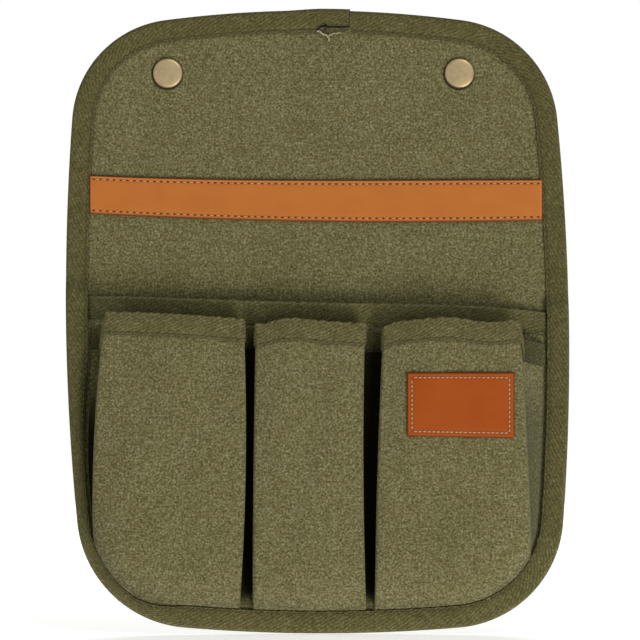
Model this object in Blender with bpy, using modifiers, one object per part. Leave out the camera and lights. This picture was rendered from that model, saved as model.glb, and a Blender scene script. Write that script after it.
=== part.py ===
"""Camp chair armrest organizer: a bound canvas panel with one flat pocket and three bellows pockets.

The top flap folds back over the armrest and snaps to two studs on the back of the panel.
X runs across, -Y is the front, Z is up. The origin lies on the lining, where the armrest bears.
All sizes are in metres.
"""
import bpy
import bmesh
import numpy as np
from functools import partial
from math import acos, asin, atan2, hypot, pi, radians, sin

# Outline: a rectangle with shallow bowed sides and round corners, leaning a little to the left
WIDTH = 0.290
HEIGHT = 0.3592
TOP_BOW = 0.655
SIDE_BOW = 1.36
BOTTOM_BOW = 0.945
TOP_CORNER = 0.0625
BOTTOM_CORNER = 0.0665
LEAN = -0.0137

# Thicknesses and clearances
CANVAS = 0.0008
LINING = 0.0006
TAPE = 0.0007
LEATHER = 0.0018
GAP = 0.0003
# How far the binding and the snaps press the lining towards the canvas
PRESSED = 0.0001

# Tape folded round the edges
BINDING_WIDTH = 0.0130
MOUTH_TAPE = 0.0127
FOLD_ROUND = 0.0020
EDGE_TUCK = 0.0030
LAP_START = 0.0040
LAP_LENGTH = 0.0160

# The pockets pull on the binding along the lower left, so that its front leg is narrower there
NARROWING = 0.0058
NARROW_UP = 0.1750
NARROW_RISE = 0.0900
NARROW_ASIDE = 0.0750
NARROW_RUN = 0.0400

# The flap: the strip's middle and the snap caps below the top edge
STRIP_DOWN = 0.1094
STRIP_HEIGHT = 0.0240
SNAP_DOWN = 0.0364
SNAP_X = {"left": -0.0863, "right": 0.0819}

# Wide flat pocket: heights of its sloping mouth above the bottom edge, and its gape in the middle
WIDE_MOUTH_LEFT = 0.1944
WIDE_MOUTH_RIGHT = 0.1850
WIDE_GAPE = 0.0070
GAPE_RUN = 0.070
WIDE_TUCK = 0.0060
BINDING_RISE = 0.0120

# Bellows pockets: x of the front edges at the bottom, the middle and the mouth, before the lean,
# and the mouth's two heights
POCKETS = {
    "left": {"edge_left": (-0.1298, -0.1305, -0.1226), "edge_right": (-0.0464, -0.0425, -0.0430),
             "mouth": (0.1855, 0.1812)},
    "middle": {"edge_left": (-0.0392, -0.0377, -0.0352), "edge_right": (0.0257, 0.0252, 0.0274),
               "mouth": (0.1800, 0.1800)},
    "right": {"edge_left": (0.0315, 0.0349, 0.0390), "edge_right": (0.1222, 0.1204, 0.1180),
              "mouth": (0.1805, 0.1800)},
}
# Mouth heights of the pleats: at the left binding, the two gaps and the right binding
PLEAT_MOUTHS = {"left_edge": 0.1800, "left_gap": 0.1771, "right_gap": 0.1750, "right_edge": 0.1655}
POCKET_DEPTH = 0.0180
POCKET_SWELL = 0.0025
POCKET_CROWN = 0.0015
SEAM_CLOSING = 0.0055
CREASE_ROUND = 0.0030
CREASE_GAP = 0.0005
PLEAT_LEAN = 0.0015
PLEAT_START = 0.0025
PLEAT_TUCK = 0.0060

# Leather patch on the right pocket
PATCH_WIDTH = 0.0620
PATCH_HEIGHT = 0.0375
PATCH_ASIDE = 0.0820
PATCH_UP = 0.1320

# Snap fasteners
CAP_RADIUS = 0.0087
CAP_HEIGHT = 0.0028
BARREL_RADIUS = 0.0022
SWAGE_RADIUS = 0.0032
SWAGE_HEIGHT = 0.0005
SOCKET_RADIUS = 0.0068
SOCKET_HEIGHT = 0.0044
SOCKET_FLOOR = 0.0006
SOCKET_MOUTH = 0.00405
SOCKET_LIP = 0.0004
SOCKET_CAVITY = 0.0042
GROOVE_RADIUS = 0.0047
SPRING_RADIUS = 0.00385
SPRING_WIRE = 0.0003
SPRING_SWEEP = 320
STUD_BASE_RADIUS = 0.0062
STUD_BASE = 0.0009
STUD_NECK = 0.0030
STUD_HEAD = 0.0037
STUD_TOP = 0.0028
STUD_RECESS = 0.00275
RECESS_DEPTH = 0.0008
POST_BARREL = 0.0020
POST_SPREAD = 0.0024
POST_FLANGE_RADIUS = 0.0055
POST_FLANGE = 0.0006
EDGE_BREAK = 0.0001

# Worked out from the sizes above
FOLD_UP = HEIGHT - STRIP_DOWN
SNAP_UP = HEIGHT - SNAP_DOWN
STUD_UP = 2 * FOLD_UP - SNAP_UP
ORIGIN_UP = (FOLD_UP + STUD_UP) / 2
FOLD_Z = FOLD_UP - ORIGIN_UP
CENTRE_Z = HEIGHT / 2 - ORIGIN_UP
LINING_Y = -LINING / 2
PANEL_Y = -LINING - GAP - CANVAS / 2
PANEL_FRONT = PANEL_Y - CANVAS / 2
TAPE_OFFSET = CANVAS / 2 + GAP + TAPE / 2
WIDE_Y = PANEL_FRONT - GAP - TAPE - GAP - CANVAS / 2
STRIP_Y = WIDE_Y - CANVAS - 2 * GAP - TAPE
BINDING_BACK = GAP + TAPE / 2
FLAP_BINDING_FRONT = PANEL_FRONT - GAP - TAPE / 2
POCKET_BINDING_FRONT = STRIP_Y - CANVAS / 2 - GAP - TAPE / 2
# The closed stack: lining, stud base, socket, lining, with a clearance at each meeting
CLOSED_STACK = GAP + STUD_BASE + GAP + SOCKET_HEIGHT + GAP
FOLD_AXIS_Y = CLOSED_STACK / 2


def up(height):
    """World z of a height above the bottom edge."""
    return height - ORIGIN_UP


def leaned(x, z):
    """x on the leaning panel of a place at x, z on the upright one."""
    return x + LEAN * (z - CENTRE_Z)


def smooth(value):
    """0 below 0, 1 above 1, and a smooth S between."""
    value = np.clip(value, 0.0, 1.0)
    return value * value * (3 - 2 * value)


def through(ends, t):
    """Parabola through the values at the bottom (t 0), the middle (0.5) and the mouth (1)."""
    bottom, middle, mouth = ends
    return bottom * (1 - t) * (1 - 2 * t) + 4 * middle * t * (1 - t) + mouth * t * (2 * t - 1)


# The outline's arcs


def corner_centre(end_bow, corner, sign):
    """Centre of the corner arc that lies inside the side arc and the top (+1) or bottom (-1) arc."""
    side_x = WIDTH / 2 - SIDE_BOW
    end_z = sign * (HEIGHT / 2 - end_bow)
    reach_side = SIDE_BOW - corner
    reach_end = end_bow - corner
    apart = hypot(side_x, end_z)
    turn = acos((reach_side ** 2 + apart ** 2 - reach_end ** 2) / (2 * reach_side * apart))
    towards = atan2(end_z, -side_x)
    angle = towards + sign * turn
    return side_x + reach_side * np.cos(angle), CENTRE_Z + reach_side * np.sin(angle)


TOP_CENTRE = corner_centre(TOP_BOW, TOP_CORNER, 1)
BOTTOM_CENTRE = corner_centre(BOTTOM_BOW, BOTTOM_CORNER, -1)
SIDE_CENTRE = (WIDTH / 2 - SIDE_BOW, CENTRE_Z)


def arc_stations(centre, radius, angles):
    """Stations x, z and outward direction along one arc, the last one left out."""
    angles = angles[:-1]
    direction = np.column_stack([np.cos(angles), np.sin(angles)])
    return np.hstack([np.array(centre) + radius * direction, direction])


def direction_angle(start, end):
    return atan2(end[1] - start[1], end[0] - start[0])


def edge_stations(half):
    """Stations along the edge of the flap or of the main panel, from the left fold point to the right one."""
    sign = 1 if half == "flap" else -1
    bow, corner, centre = (TOP_BOW, TOP_CORNER, TOP_CENTRE) if half == "flap" else (
        BOTTOM_BOW, BOTTOM_CORNER, BOTTOM_CENTRE)
    end_centre = (0.0, CENTRE_Z + sign * (HEIGHT / 2 - bow))
    fold_angle = asin((FOLD_Z + sign * GAP / 2 - CENTRE_Z) / SIDE_BOW)
    side_angle = direction_angle(SIDE_CENTRE, centre)
    end_angle = direction_angle(end_centre, centre)
    side_angles = np.linspace(fold_angle, side_angle, 4)
    if half == "main":
        # close stations where the binding rises over the wide pocket's mouth
        mouths = up(WIDE_MOUTH_LEFT), up(WIDE_MOUTH_RIGHT)
        rise = np.linspace(max(mouths) + BINDING_RISE, min(mouths), 6)
        rise_angles = np.arcsin((rise - CENTRE_Z) / SIDE_BOW)
        below_rise = np.linspace(rise_angles[-1], side_angle, 6)[1:]
        side_angles = np.concatenate([[fold_angle], rise_angles, below_rise])
    right = np.vstack([
        arc_stations(SIDE_CENTRE, SIDE_BOW, side_angles),
        arc_stations(centre, corner, np.linspace(side_angle, end_angle, 9)),
        arc_stations(end_centre, bow, np.linspace(end_angle, sign * pi / 2, 6)),
    ])
    right[0, 2:] = (1.0, 0.0)
    middle = np.array([[0.0, CENTRE_Z + sign * HEIGHT / 2, 0.0, sign]])
    left = right * np.array([-1, 1, -1, 1])
    return np.vstack([left, middle, right[::-1]])


def inside(stations, inset):
    """Stations moved in from the edge: their x and z."""
    return stations[:, :2] - inset * stations[:, 2:]


def side_reach(z, inset):
    """Half width of the outline at z, on its side arc or its bottom corner arc, moved in by an inset."""
    z = np.asarray(z)
    change = CENTRE_Z + (SIDE_BOW - inset) * sin(direction_angle(SIDE_CENTRE, BOTTOM_CENTRE))
    along_side = SIDE_CENTRE[0] + np.sqrt((SIDE_BOW - inset) ** 2 - (z - CENTRE_Z) ** 2)
    below = np.clip(BOTTOM_CENTRE[1] - z, 0.0, BOTTOM_CORNER - inset)
    along_corner = BOTTOM_CENTRE[0] + np.sqrt((BOTTOM_CORNER - inset) ** 2 - below ** 2)
    return np.where(z >= change, along_side, along_corner)


def seam_height(x, inset):
    """z of the lower outline at x, moved in by an inset."""
    x = np.abs(x)
    bow_centre = CENTRE_Z - HEIGHT / 2 + BOTTOM_BOW
    turn = direction_angle((0.0, bow_centre), BOTTOM_CENTRE)
    change = (BOTTOM_BOW - inset) * np.cos(turn)
    along_bow = bow_centre - np.sqrt((BOTTOM_BOW - inset) ** 2 - np.minimum(x, change) ** 2)
    aside = np.clip(x - BOTTOM_CENTRE[0], 0.0, BOTTOM_CORNER - inset)
    along_corner = BOTTOM_CENTRE[1] - np.sqrt((BOTTOM_CORNER - inset) ** 2 - aside ** 2)
    return np.where(x <= change, along_bow, along_corner)


def binding_width(x, z):
    """Width of the binding's front leg at x, z."""
    low = smooth((up(NARROW_UP) - z) / NARROW_RISE)
    left = smooth((-x - NARROW_ASIDE) / NARROW_RUN)
    return BINDING_WIDTH - NARROWING * low * left


def seam_inset(x):
    """How far the pockets' bottom seam lies inside the outline at x: just clear of the binding."""
    return binding_width(x, up(0.0)) + GAP + CANVAS


# Building helpers


def start_scene():
    for item in list(bpy.data.objects):
        bpy.data.objects.remove(item)
    group = bpy.data.collections.new("camp_chair_armrest_organizer")
    bpy.context.scene.collection.children.link(group)
    return group


def material(name, colour, roughness, metallic=0.0):
    """Principled material from an sRGB hex colour."""
    values = [int(colour[i:i + 2], 16) / 255 for i in (1, 3, 5)]
    linear = [v / 12.92 if v <= 0.04045 else ((v + 0.055) / 1.055) ** 2.4 for v in values]
    made = bpy.data.materials.new(name)
    made.use_nodes = True
    shader = made.node_tree.nodes["Principled BSDF"]
    shader.inputs["Base Color"].default_value = (*linear, 1.0)
    shader.inputs["Roughness"].default_value = roughness
    shader.inputs["Metallic"].default_value = metallic
    return made


def add_object(name, data, finish, parent=None):
    """Link a mesh or curve to the organizer's collection, on the empty of the body that it moves with."""
    item = bpy.data.objects.new(name, data)
    GROUP.objects.link(item)
    data.materials.append(finish)
    if parent is not None:
        item.parent = parent
        item.matrix_parent_inverse = parent.matrix_world.inverted()
    return item


def joint_empty(name, location):
    """Empty on a joint's axis, which the pieces of the moving body are parented to."""
    empty = bpy.data.objects.new(name, None)
    empty.location = location
    empty.empty_display_size = 0.02
    GROUP.objects.link(empty)
    bpy.context.view_layer.update()
    return empty


def cloth(name, points, thickness, finish, parent=None):
    """Sheet through a grid of mid-surface points, made to lean and given its thickness by Solidify."""
    points = points.copy()
    points[..., 0] = leaned(points[..., 0], points[..., 2])
    rows, columns = points.shape[:2]
    mesh = bmesh.new()
    grid = [[mesh.verts.new(point) for point in row] for row in points]
    for row in range(rows - 1):
        for column in range(columns - 1):
            mesh.faces.new((grid[row][column], grid[row][column + 1],
                            grid[row + 1][column + 1], grid[row + 1][column]))
    data = bpy.data.meshes.new(name)
    mesh.to_mesh(data)
    mesh.free()
    data.shade_smooth()
    item = add_object(name, data, finish, parent)
    solid = item.modifiers.new("Thickness", "SOLIDIFY")
    solid.thickness = thickness
    solid.offset = 0.0
    solid.use_even_offset = True
    return item


def circle(x, z, radius):
    turns = np.linspace(0, 2 * pi, 16, endpoint=False)
    return np.column_stack([x + radius * np.cos(turns), z + radius * np.sin(turns)])


def corners(mesh, points, y):
    """A row of corners at x, z points."""
    return [mesh.verts.new((x, y, z)) for x, z in points]


def add_band(mesh, outer, inner):
    """Quads between two rows of corners."""
    for a, b, c, d in zip(outer, outer[1:], inner[1:], inner):
        mesh.faces.new((a, b, c, d))


def flat_piece(name, outline, holes, y, thickness, finish, parent=None, field=None, snap_radius=0.0):
    """Flat cut piece in the XZ plane, made to lean, with round holes at x, z, radius.

    Where a field is given, the cloth is pressed in outside it and, within the snap's radius, at the holes.
    """
    mesh = bmesh.new()
    pressed = y if field is None else y - PRESSED
    edge = corners(mesh, np.column_stack([leaned(outline[:, 0], outline[:, 1]), outline[:, 1]]), pressed)
    rims = [corners(mesh, circle(*hole), pressed) for hole in holes]
    loops = [edge] + rims
    if field is not None:
        middle = corners(mesh, np.column_stack([leaned(field[:, 0], field[:, 1]), field[:, 1]]), y)
        add_band(mesh, edge, middle)
        loops = [middle]
        for rim, (x, z, _) in zip(rims, holes):
            around = corners(mesh, circle(x, z, snap_radius + GAP), y)
            add_band(mesh, rim + rim[:1], around + around[:1])
            loops.append(around)
    edges = []
    for loop in loops:
        edges += [mesh.edges.get(pair) or mesh.edges.new(pair) for pair in zip(loop, loop[1:] + loop[:1])]
    bmesh.ops.triangle_fill(mesh, use_beauty=True, edges=edges)
    bmesh.ops.recalc_face_normals(mesh, faces=mesh.faces)
    data = bpy.data.meshes.new(name)
    mesh.to_mesh(data)
    mesh.free()
    item = add_object(name, data, finish, parent)
    solid = item.modifiers.new("Thickness", "SOLIDIFY")
    solid.thickness = thickness
    solid.offset = 0.0
    return item


def turned(name, profile, closed, steps, place, outward, finish, parent=None):
    """Turned piece: radius and height points, outer side top to bottom, spun about local Z.

    Local Z points to the back (+1) or to the front (-1) of the cloth.
    """
    count = len(profile)
    edges = [(i, i + 1) for i in range(count - 1)]
    if closed:
        edges.append((count - 1, 0))
    data = bpy.data.meshes.new(name)
    data.from_pydata([(radius, 0.0, height) for radius, height in profile], edges, [])
    item = add_object(name, data, finish, parent)
    item.location = (place[0], 0.0, place[1])
    item.rotation_euler = (radians(-90 * outward), 0.0, 0.0)
    spin = item.modifiers.new("Spin", "SCREW")
    spin.axis = "Z"
    spin.angle = 2 * pi
    spin.steps = steps
    spin.render_steps = steps
    spin.use_merge_vertices = True
    spin.merge_threshold = 0.00001
    spin.use_smooth_shade = True
    return item


def offset_section(points, distance):
    """Rows of points moved sideways in the XY plane, mitred where a row bends."""
    along = np.diff(points[..., :2], axis=1)
    along /= np.linalg.norm(along, axis=2, keepdims=True)
    normal = np.stack([along[..., 1], -along[..., 0]], axis=2)
    before = np.concatenate([normal[:, :1], normal], axis=1)
    after = np.concatenate([normal, normal[:, -1:]], axis=1)
    mitre = before + after
    mitre /= np.linalg.norm(mitre, axis=2, keepdims=True)
    mitre /= np.sum(mitre * after, axis=2, keepdims=True)
    moved = points.copy()
    moved[..., :2] += distance * mitre
    return moved


def tape_rows(tops):
    """Heights of the cloth's rows under its mouth tape, up to the cloth's top edge."""
    below = np.array([MOUTH_TAPE, MOUTH_TAPE / 2, CLOTH_BELOW_MOUTH]) - CLOTH_BELOW_MOUTH
    return tops - below[:, None]


def cloth_rows(low, tops, shares):
    """Heights of a pocket cloth's rows: shares of the way up to the tape, then the rows under the tape."""
    taped = tape_rows(tops)
    return np.concatenate([low + (taped[0] - low) * shares[:, None], taped[1:]])


def mouth_tape(name, surface, tops, finish, parent=None):
    """Tape folded over a pocket's mouth: front leg, round fold and back leg.

    surface gives the cloth's mid-surface at rows of heights, and tops is the cloth's top edge.
    """
    legs = surface(tape_rows(tops))
    fold = legs[-1:]
    rows = [offset_section(legs, TAPE_OFFSET)]
    for angle in radians(45), radians(90), radians(135):
        bent = offset_section(fold, TAPE_OFFSET * np.cos(angle))
        bent[..., 2] += TAPE_OFFSET * sin(angle)
        rows.append(bent)
    rows.append(offset_section(legs[::-1], -TAPE_OFFSET))
    return cloth(name, np.concatenate(rows), TAPE, finish, parent)


# Layers of the panel


def panels(flap):
    """Lining and canvas of the flap and of the main panel, with the holes that the snaps pass through."""
    for half, height, hole, snap_radius, parent in (
            ("flap", SNAP_UP, BARREL_RADIUS + GAP, SOCKET_RADIUS, flap),
            ("main", STUD_UP, POST_BARREL + GAP, STUD_BASE_RADIUS, None)):
        stations = edge_stations(half)
        outline = inside(stations, EDGE_TUCK)
        front_leg = BINDING_WIDTH if half == "flap" else binding_width(stations[:, :1], stations[:, 1:2])
        field = inside(stations, 2 * BINDING_WIDTH - front_leg + GAP)
        holes = [(x, up(height), hole) for x in SNAP_X.values()]
        flat_piece("panel_" + half, outline, holes, PANEL_Y, CANVAS, CANVAS_CLOTH, parent)
        flat_piece("lining_" + half, outline, holes, LINING_Y, LINING, LINING_CLOTH, parent,
                   field, snap_radius)


def folded_tape(stations, front, width, edge):
    """Tape folded round an edge: for each station its front leg, the fold and its back leg.

    What the front leg lacks in width, the back leg has more.
    """
    back = BINDING_BACK - edge
    turn = edge + TAPE / 2 + FOLD_ROUND
    middle = (front + back) / 2
    half = (back - front) / 2
    profile = [(width, front), (turn, front)]
    for angle in radians(-50), 0.0, radians(50):
        profile.append((turn - FOLD_ROUND * np.cos(angle), middle + half * sin(angle)))
    profile += [(turn, back), (2 * BINDING_WIDTH - width, back)]
    columns = []
    for inset, y in profile:
        place = inside(stations, np.broadcast_to(inset, len(stations))[:, None])
        columns.append(np.stack([place[:, 0], np.broadcast_to(y, len(stations)), place[:, 1]], axis=1))
    return np.stack(columns, axis=1)


def bindings(flap):
    """Binding of the flap with its lapped end, and binding of the main panel, thicker over the pockets."""
    upper = edge_stations("flap")
    front = np.full(len(upper), FLAP_BINDING_FRONT)
    cloth("binding_flap", folded_tape(upper, front, BINDING_WIDTH, 0.0), TAPE, BINDING_TAPE, flap)
    lap_x = np.linspace(LAP_START, LAP_START + LAP_LENGTH, 4)
    bow_centre = (0.0, CENTRE_Z + HEIGHT / 2 - TOP_BOW)
    angles = np.arccos(lap_x / TOP_BOW)
    direction = np.column_stack([np.cos(angles), np.sin(angles)])
    lap = np.hstack([np.array(bow_centre) + TOP_BOW * direction, direction])
    step = TAPE + GAP
    front = np.full(len(lap), FLAP_BINDING_FRONT - step)
    cloth("binding_lap", folded_tape(lap, front, BINDING_WIDTH, -step), TAPE, BINDING_TAPE, flap)
    lower = edge_stations("main")
    mouth = np.where(lower[:, 0] < 0, WIDE_MOUTH_LEFT, WIDE_MOUTH_RIGHT)
    raised = smooth((up(mouth) + BINDING_RISE - lower[:, 1]) / BINDING_RISE)
    front = FLAP_BINDING_FRONT + (POCKET_BINDING_FRONT - FLAP_BINDING_FRONT) * raised
    width = binding_width(lower[:, 0], lower[:, 1])
    cloth("binding_main", folded_tape(lower, front, width, 0.0), TAPE, BINDING_TAPE)


def leather_strips(flap):
    """The strip across the panel, as its halves above and below the fold line."""
    y = PANEL_FRONT - GAP - LEATHER / 2
    for name, low, high, parent in (
            ("leather_strip_lower", -STRIP_HEIGHT / 2, -GAP / 2, None),
            ("leather_strip_upper", GAP / 2, STRIP_HEIGHT / 2, flap)):
        rows = []
        for z in (FOLD_Z + low, FOLD_Z + high):
            reach = side_reach(z, BINDING_WIDTH) - GAP
            rows.append([(x, y, z) for x in np.linspace(-reach, reach, 8)])
        cloth(name, np.array(rows), LEATHER, LEATHER_TAN, parent)


# The wide pocket

CLOTH_BELOW_MOUTH = TAPE_OFFSET + TAPE / 2


def wide_mouth(x):
    """World z of the wide pocket's mouth at x."""
    share = (x + WIDTH / 2) / WIDTH
    return up(WIDE_MOUTH_LEFT + (WIDE_MOUTH_RIGHT - WIDE_MOUTH_LEFT) * share)


def wide_bulge(x, z):
    """How far the wide pocket's cloth stands forward of its flat place."""
    half = WIDTH / 2 - BINDING_WIDTH
    across = 1 - np.minimum(np.abs(x) / half, 1.0) ** 3
    upwards = smooth(1 + (z - wide_mouth(x)) / GAPE_RUN)
    return WIDE_GAPE * across * upwards


def wide_points(x, z):
    """Mid-surface of the wide pocket's cloth."""
    x = np.broadcast_to(x, z.shape)
    return np.stack([x, WIDE_Y - wide_bulge(x, z), z], axis=2)


def wide_pocket():
    """Full-width pocket cloth with its taped mouth; the cloth goes on under the binding."""
    end = side_reach(up(WIDE_MOUTH_LEFT), BINDING_WIDTH) - GAP
    taped_x = np.linspace(-end, end, 15)
    x = np.concatenate([[-end - WIDE_TUCK], taped_x, [end + WIDE_TUCK]])
    shares = np.array([0, 0.3, 0.6, 0.75, 0.88, 1.0])
    z = cloth_rows(seam_height(x, EDGE_TUCK), wide_mouth(x) - CLOTH_BELOW_MOUTH, shares)
    cloth("wide_pocket", wide_points(x, z), CANVAS, CANVAS_CLOTH)
    tops = wide_mouth(taped_x) - CLOTH_BELOW_MOUTH
    mouth_tape("wide_pocket_tape", lambda z: wide_points(taped_x, z), tops, POCKET_TAPE)


# The pleated strip with its three bellows pockets

# Columns across a pocket's front: share of its width, then distance from that share, then how far
# the column falls back round the crease, as a share of the crease's rounding
FRONT_ACROSS = np.array([0, 0, 0, 0.07, 0.15, 0.28, 0.5, 0.72, 0.85, 0.93, 1, 1, 1])
FRONT_ASIDE = CREASE_ROUND * np.array([0, 0.25, 1, 0.7, 0.5, 0.2, 0, -0.2, -0.5, -0.7, -1, -0.25, 0])
FRONT_FALL = np.array([1, 0.4, 0, 0, 0, 0, 0, 0, 0, 0, 0, 0.4, 1])
SEAM_Z = float(seam_height(0.0, seam_inset(0.0)))


def pocket_share(pocket, z):
    """Height z as a share of the way from the bottom seam to a pocket's mouth."""
    return (z - SEAM_Z) / (up(np.mean(POCKETS[pocket]["mouth"])) - SEAM_Z)


def front_edges(pocket, z):
    """x of a front's left and right crease at height z."""
    share = pocket_share(pocket, z)
    return through(POCKETS[pocket]["edge_left"], share), through(POCKETS[pocket]["edge_right"], share)


def front_x(pocket, z, columns):
    """x of a front's columns at height z."""
    left, right = front_edges(pocket, z)
    return left + (right - left) * FRONT_ACROSS[columns] + FRONT_ASIDE[columns]


def front_low(pocket, columns):
    """z where each column of a front meets the curved bottom seam."""
    low = np.full(len(FRONT_ACROSS[columns]), SEAM_Z)
    for _ in range(4):
        x = front_x(pocket, low, columns)
        low = seam_height(x, seam_inset(x))
    return low


def pocket_depth(rise, share):
    """How far a pocket's front stands off: it closes near the seam and swells a little half way up."""
    closing = 1 - np.exp(-np.maximum(rise, 0.0) / SEAM_CLOSING)
    return (POCKET_DEPTH + POCKET_SWELL * np.sin(pi * np.clip(share, 0, 1))) * closing


def front_points(pocket, z, columns=slice(None)):
    """Mid-surface of a pocket's front; z holds a height for each row and column."""
    x = front_x(pocket, z, columns)
    left, right = front_edges(pocket, z)
    across = (x - left) / (right - left)
    depth = pocket_depth(z - front_low(pocket, columns), pocket_share(pocket, z))
    rounding = np.minimum(CREASE_ROUND, 0.35 * depth) * FRONT_FALL[columns]
    crown = POCKET_CROWN * (1 - (2 * across - 1) ** 2) * depth / POCKET_DEPTH
    return np.stack([x, STRIP_Y - depth + rounding - crown, z], axis=-1)


FRONT_SHARES = np.array([0, 0.016, 0.038, 0.075, 0.13, 0.22, 0.36, 0.56, 0.78, 1.0])


def bellows_pockets(bodies):
    """Front cloth and mouth tape of the three pockets, each on its own body."""
    for pocket, size in POCKETS.items():
        body = bodies[pocket]
        low = front_low(pocket, slice(None))
        mouth = size["mouth"][0] + (size["mouth"][1] - size["mouth"][0]) * FRONT_ACROSS
        tops = up(mouth) - CLOTH_BELOW_MOUTH
        points = front_points(pocket, cloth_rows(low, tops, FRONT_SHARES))
        cloth("pocket_" + pocket, points, CANVAS, CANVAS_CLOTH, body)
        mouth_tape("pocket_" + pocket + "_tape", partial(front_points, pocket), tops, POCKET_TAPE, body)


# Each pleat: the pocket on its left and the pocket on its right
PLEATS = {"left_edge": (None, "left"), "left_gap": ("left", "middle"),
          "right_gap": ("middle", "right"), "right_edge": ("right", None)}


def gusset_point(pleat, pocket, side, z, part, short=0.0):
    """Point on a gusset at height z, from its clearance to the front's crease (part 0) to its foot (1).

    short is how far it stops before the foot.
    """
    crease = front_points(pocket, z[:, None], [0] if side == "left" else [-1])[:, 0]
    lean = 1 if side == "right" else -1
    if pleat.endswith("gap"):
        foot_x = crease[:, 0] + lean * PLEAT_LEAN
    else:
        width = binding_width(crease[:, 0], z)
        foot_x = lean * side_reach(z, width + 2 * GAP + CLOTH_BELOW_MOUTH)
    foot = np.stack([foot_x, STRIP_Y - wide_bulge(foot_x, z), z], axis=1)
    way = (foot - crease) / np.linalg.norm(foot - crease, axis=1, keepdims=True)
    start = crease + way * CREASE_GAP
    return start + part * (foot - start) - short * way


# Columns across a gusset, from the crease: part of the way to the foot, and distance short of it.
# Beside a binding the third column is where the tape ends, clear of the hem.
GAP_COLUMNS = [(0.0, 0.0), (0.5, 0.0), (1.0, 0.0)]
EDGE_COLUMNS = [(0.0, 0.0), (0.5, 0.0), (1.0, CANVAS / 2 + GAP + CLOTH_BELOW_MOUTH), (1.0, 0.0)]


def pleat_points(pleat, z):
    """Rows across one pleat; z holds a height for each row and column."""
    left, right = PLEATS[pleat]
    if left and right:
        from_left = [gusset_point(pleat, left, "right", z[:, i], *where)
                     for i, where in enumerate(GAP_COLUMNS)]
        to_right = [gusset_point(pleat, right, "left", z[:, -1 - i], *where)
                    for i, where in enumerate(GAP_COLUMNS)]
        middle = z[:, 3]
        back = (gusset_point(pleat, left, "right", middle, 1.0)
                + gusset_point(pleat, right, "left", middle, 1.0)) / 2
        return np.stack(from_left + [back] + to_right[::-1], axis=1)
    columns = EDGE_COLUMNS[:z.shape[1]]
    if left:
        return np.stack([gusset_point(pleat, left, "right", z[:, i], *where)
                         for i, where in enumerate(columns)], axis=1)
    return np.stack([gusset_point(pleat, right, "left", z[:, -1 - i], *where)
                     for i, where in enumerate(columns)][::-1], axis=1)


def pleat_tops(pleat):
    """z of a pleat's top edge at each column: the pocket's height at the crease, its own at the foot."""
    left, right = PLEATS[pleat]
    own = up(PLEAT_MOUTHS[pleat])
    tops = []
    if left:
        crease = up(POCKETS[left]["mouth"][1])
        tops += [crease, (crease + own) / 2, own]
    tops.append(own)
    if right:
        crease = up(POCKETS[right]["mouth"][0])
        tops += [own, (crease + own) / 2, crease]
    return np.array(tops) - CLOTH_BELOW_MOUTH


def pleats():
    """The parts of the pleated strip beside and between the pockets, with the tape on their top edge."""
    shares = np.array([0.0, 0.025, 0.07, 0.14, 0.3, 0.52, 0.76, 1.0])
    for pleat, (left, right) in PLEATS.items():
        tops = pleat_tops(pleat)
        lows = []
        if left:
            lows.append(front_low(left, [-1])[0])
        if right:
            lows.append(front_low(right, [0])[0])
        low = max(lows) + (0.0 if left and right else PLEAT_START)
        points = pleat_points(pleat, cloth_rows(low, tops, shares))
        if not right:
            hem = points[:, -1:] + np.array([PLEAT_TUCK, 0.0, 0.0])
            points = np.concatenate([points, hem], axis=1)
            tops = tops[:-1]
        elif not left:
            hem = points[:, :1] - np.array([PLEAT_TUCK, 0.0, 0.0])
            points = np.concatenate([hem, points], axis=1)
            tops = tops[1:]
        cloth("pleat_" + pleat, points, CANVAS, CANVAS_CLOTH)
        mouth_tape("pleat_" + pleat + "_tape", partial(pleat_points, pleat), tops, POCKET_TAPE)


def label_patch(body):
    """Bare leather patch that follows the right pocket's front."""
    heights = up(PATCH_UP) + PATCH_HEIGHT * np.linspace(-0.5, 0.5, 4)
    front = front_points("right", np.repeat(heights[:, None], len(FRONT_ACROSS), axis=1))
    across = PATCH_ASIDE + PATCH_WIDTH * np.linspace(-0.5, 0.5, 7)
    rows = []
    for row, z in zip(front, heights):
        y = np.interp(across, row[:, 0], row[:, 1])
        rows.append(np.stack([across, y - CANVAS / 2 - GAP - LEATHER / 2, np.full(7, z)], axis=1))
    cloth("label_patch", np.array(rows), LEATHER, PATCH_LEATHER, body)


# Snap fasteners: cap and socket on the flap, stud and post on the panel


def snap_cap(side, flap):
    """Domed cap with a rolled rim; its barrel passes the cloth and is spread inside the socket."""
    end = GAP + SOCKET_FLOOR + GAP
    reach = -PANEL_FRONT
    r, h = CAP_RADIUS, CAP_HEIGHT
    profile = [
        (0.0, h), (0.36 * r, 0.94 * h), (0.66 * r, 0.77 * h), (0.84 * r, 0.58 * h), (0.88 * r, 0.57 * h),
        (0.93 * r, 0.62 * h), (0.985 * r, 0.50 * h), (r, 0.34 * h), (0.98 * r, 0.18 * h), (0.93 * r, GAP),
        (BARREL_RADIUS, GAP), (BARREL_RADIUS, -reach - end), (SWAGE_RADIUS, -reach - end),
        (SWAGE_RADIUS, -reach - end - 0.6 * SWAGE_HEIGHT), (0.9 * SWAGE_RADIUS, -reach - end - SWAGE_HEIGHT),
        (0.0, -reach - end - SWAGE_HEIGHT),
    ]
    place = (SNAP_X[side], up(SNAP_UP))
    item = turned("snap_cap_" + side, profile, False, 24, place, -1, BRASS, flap)
    item.location.y = PANEL_FRONT


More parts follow.
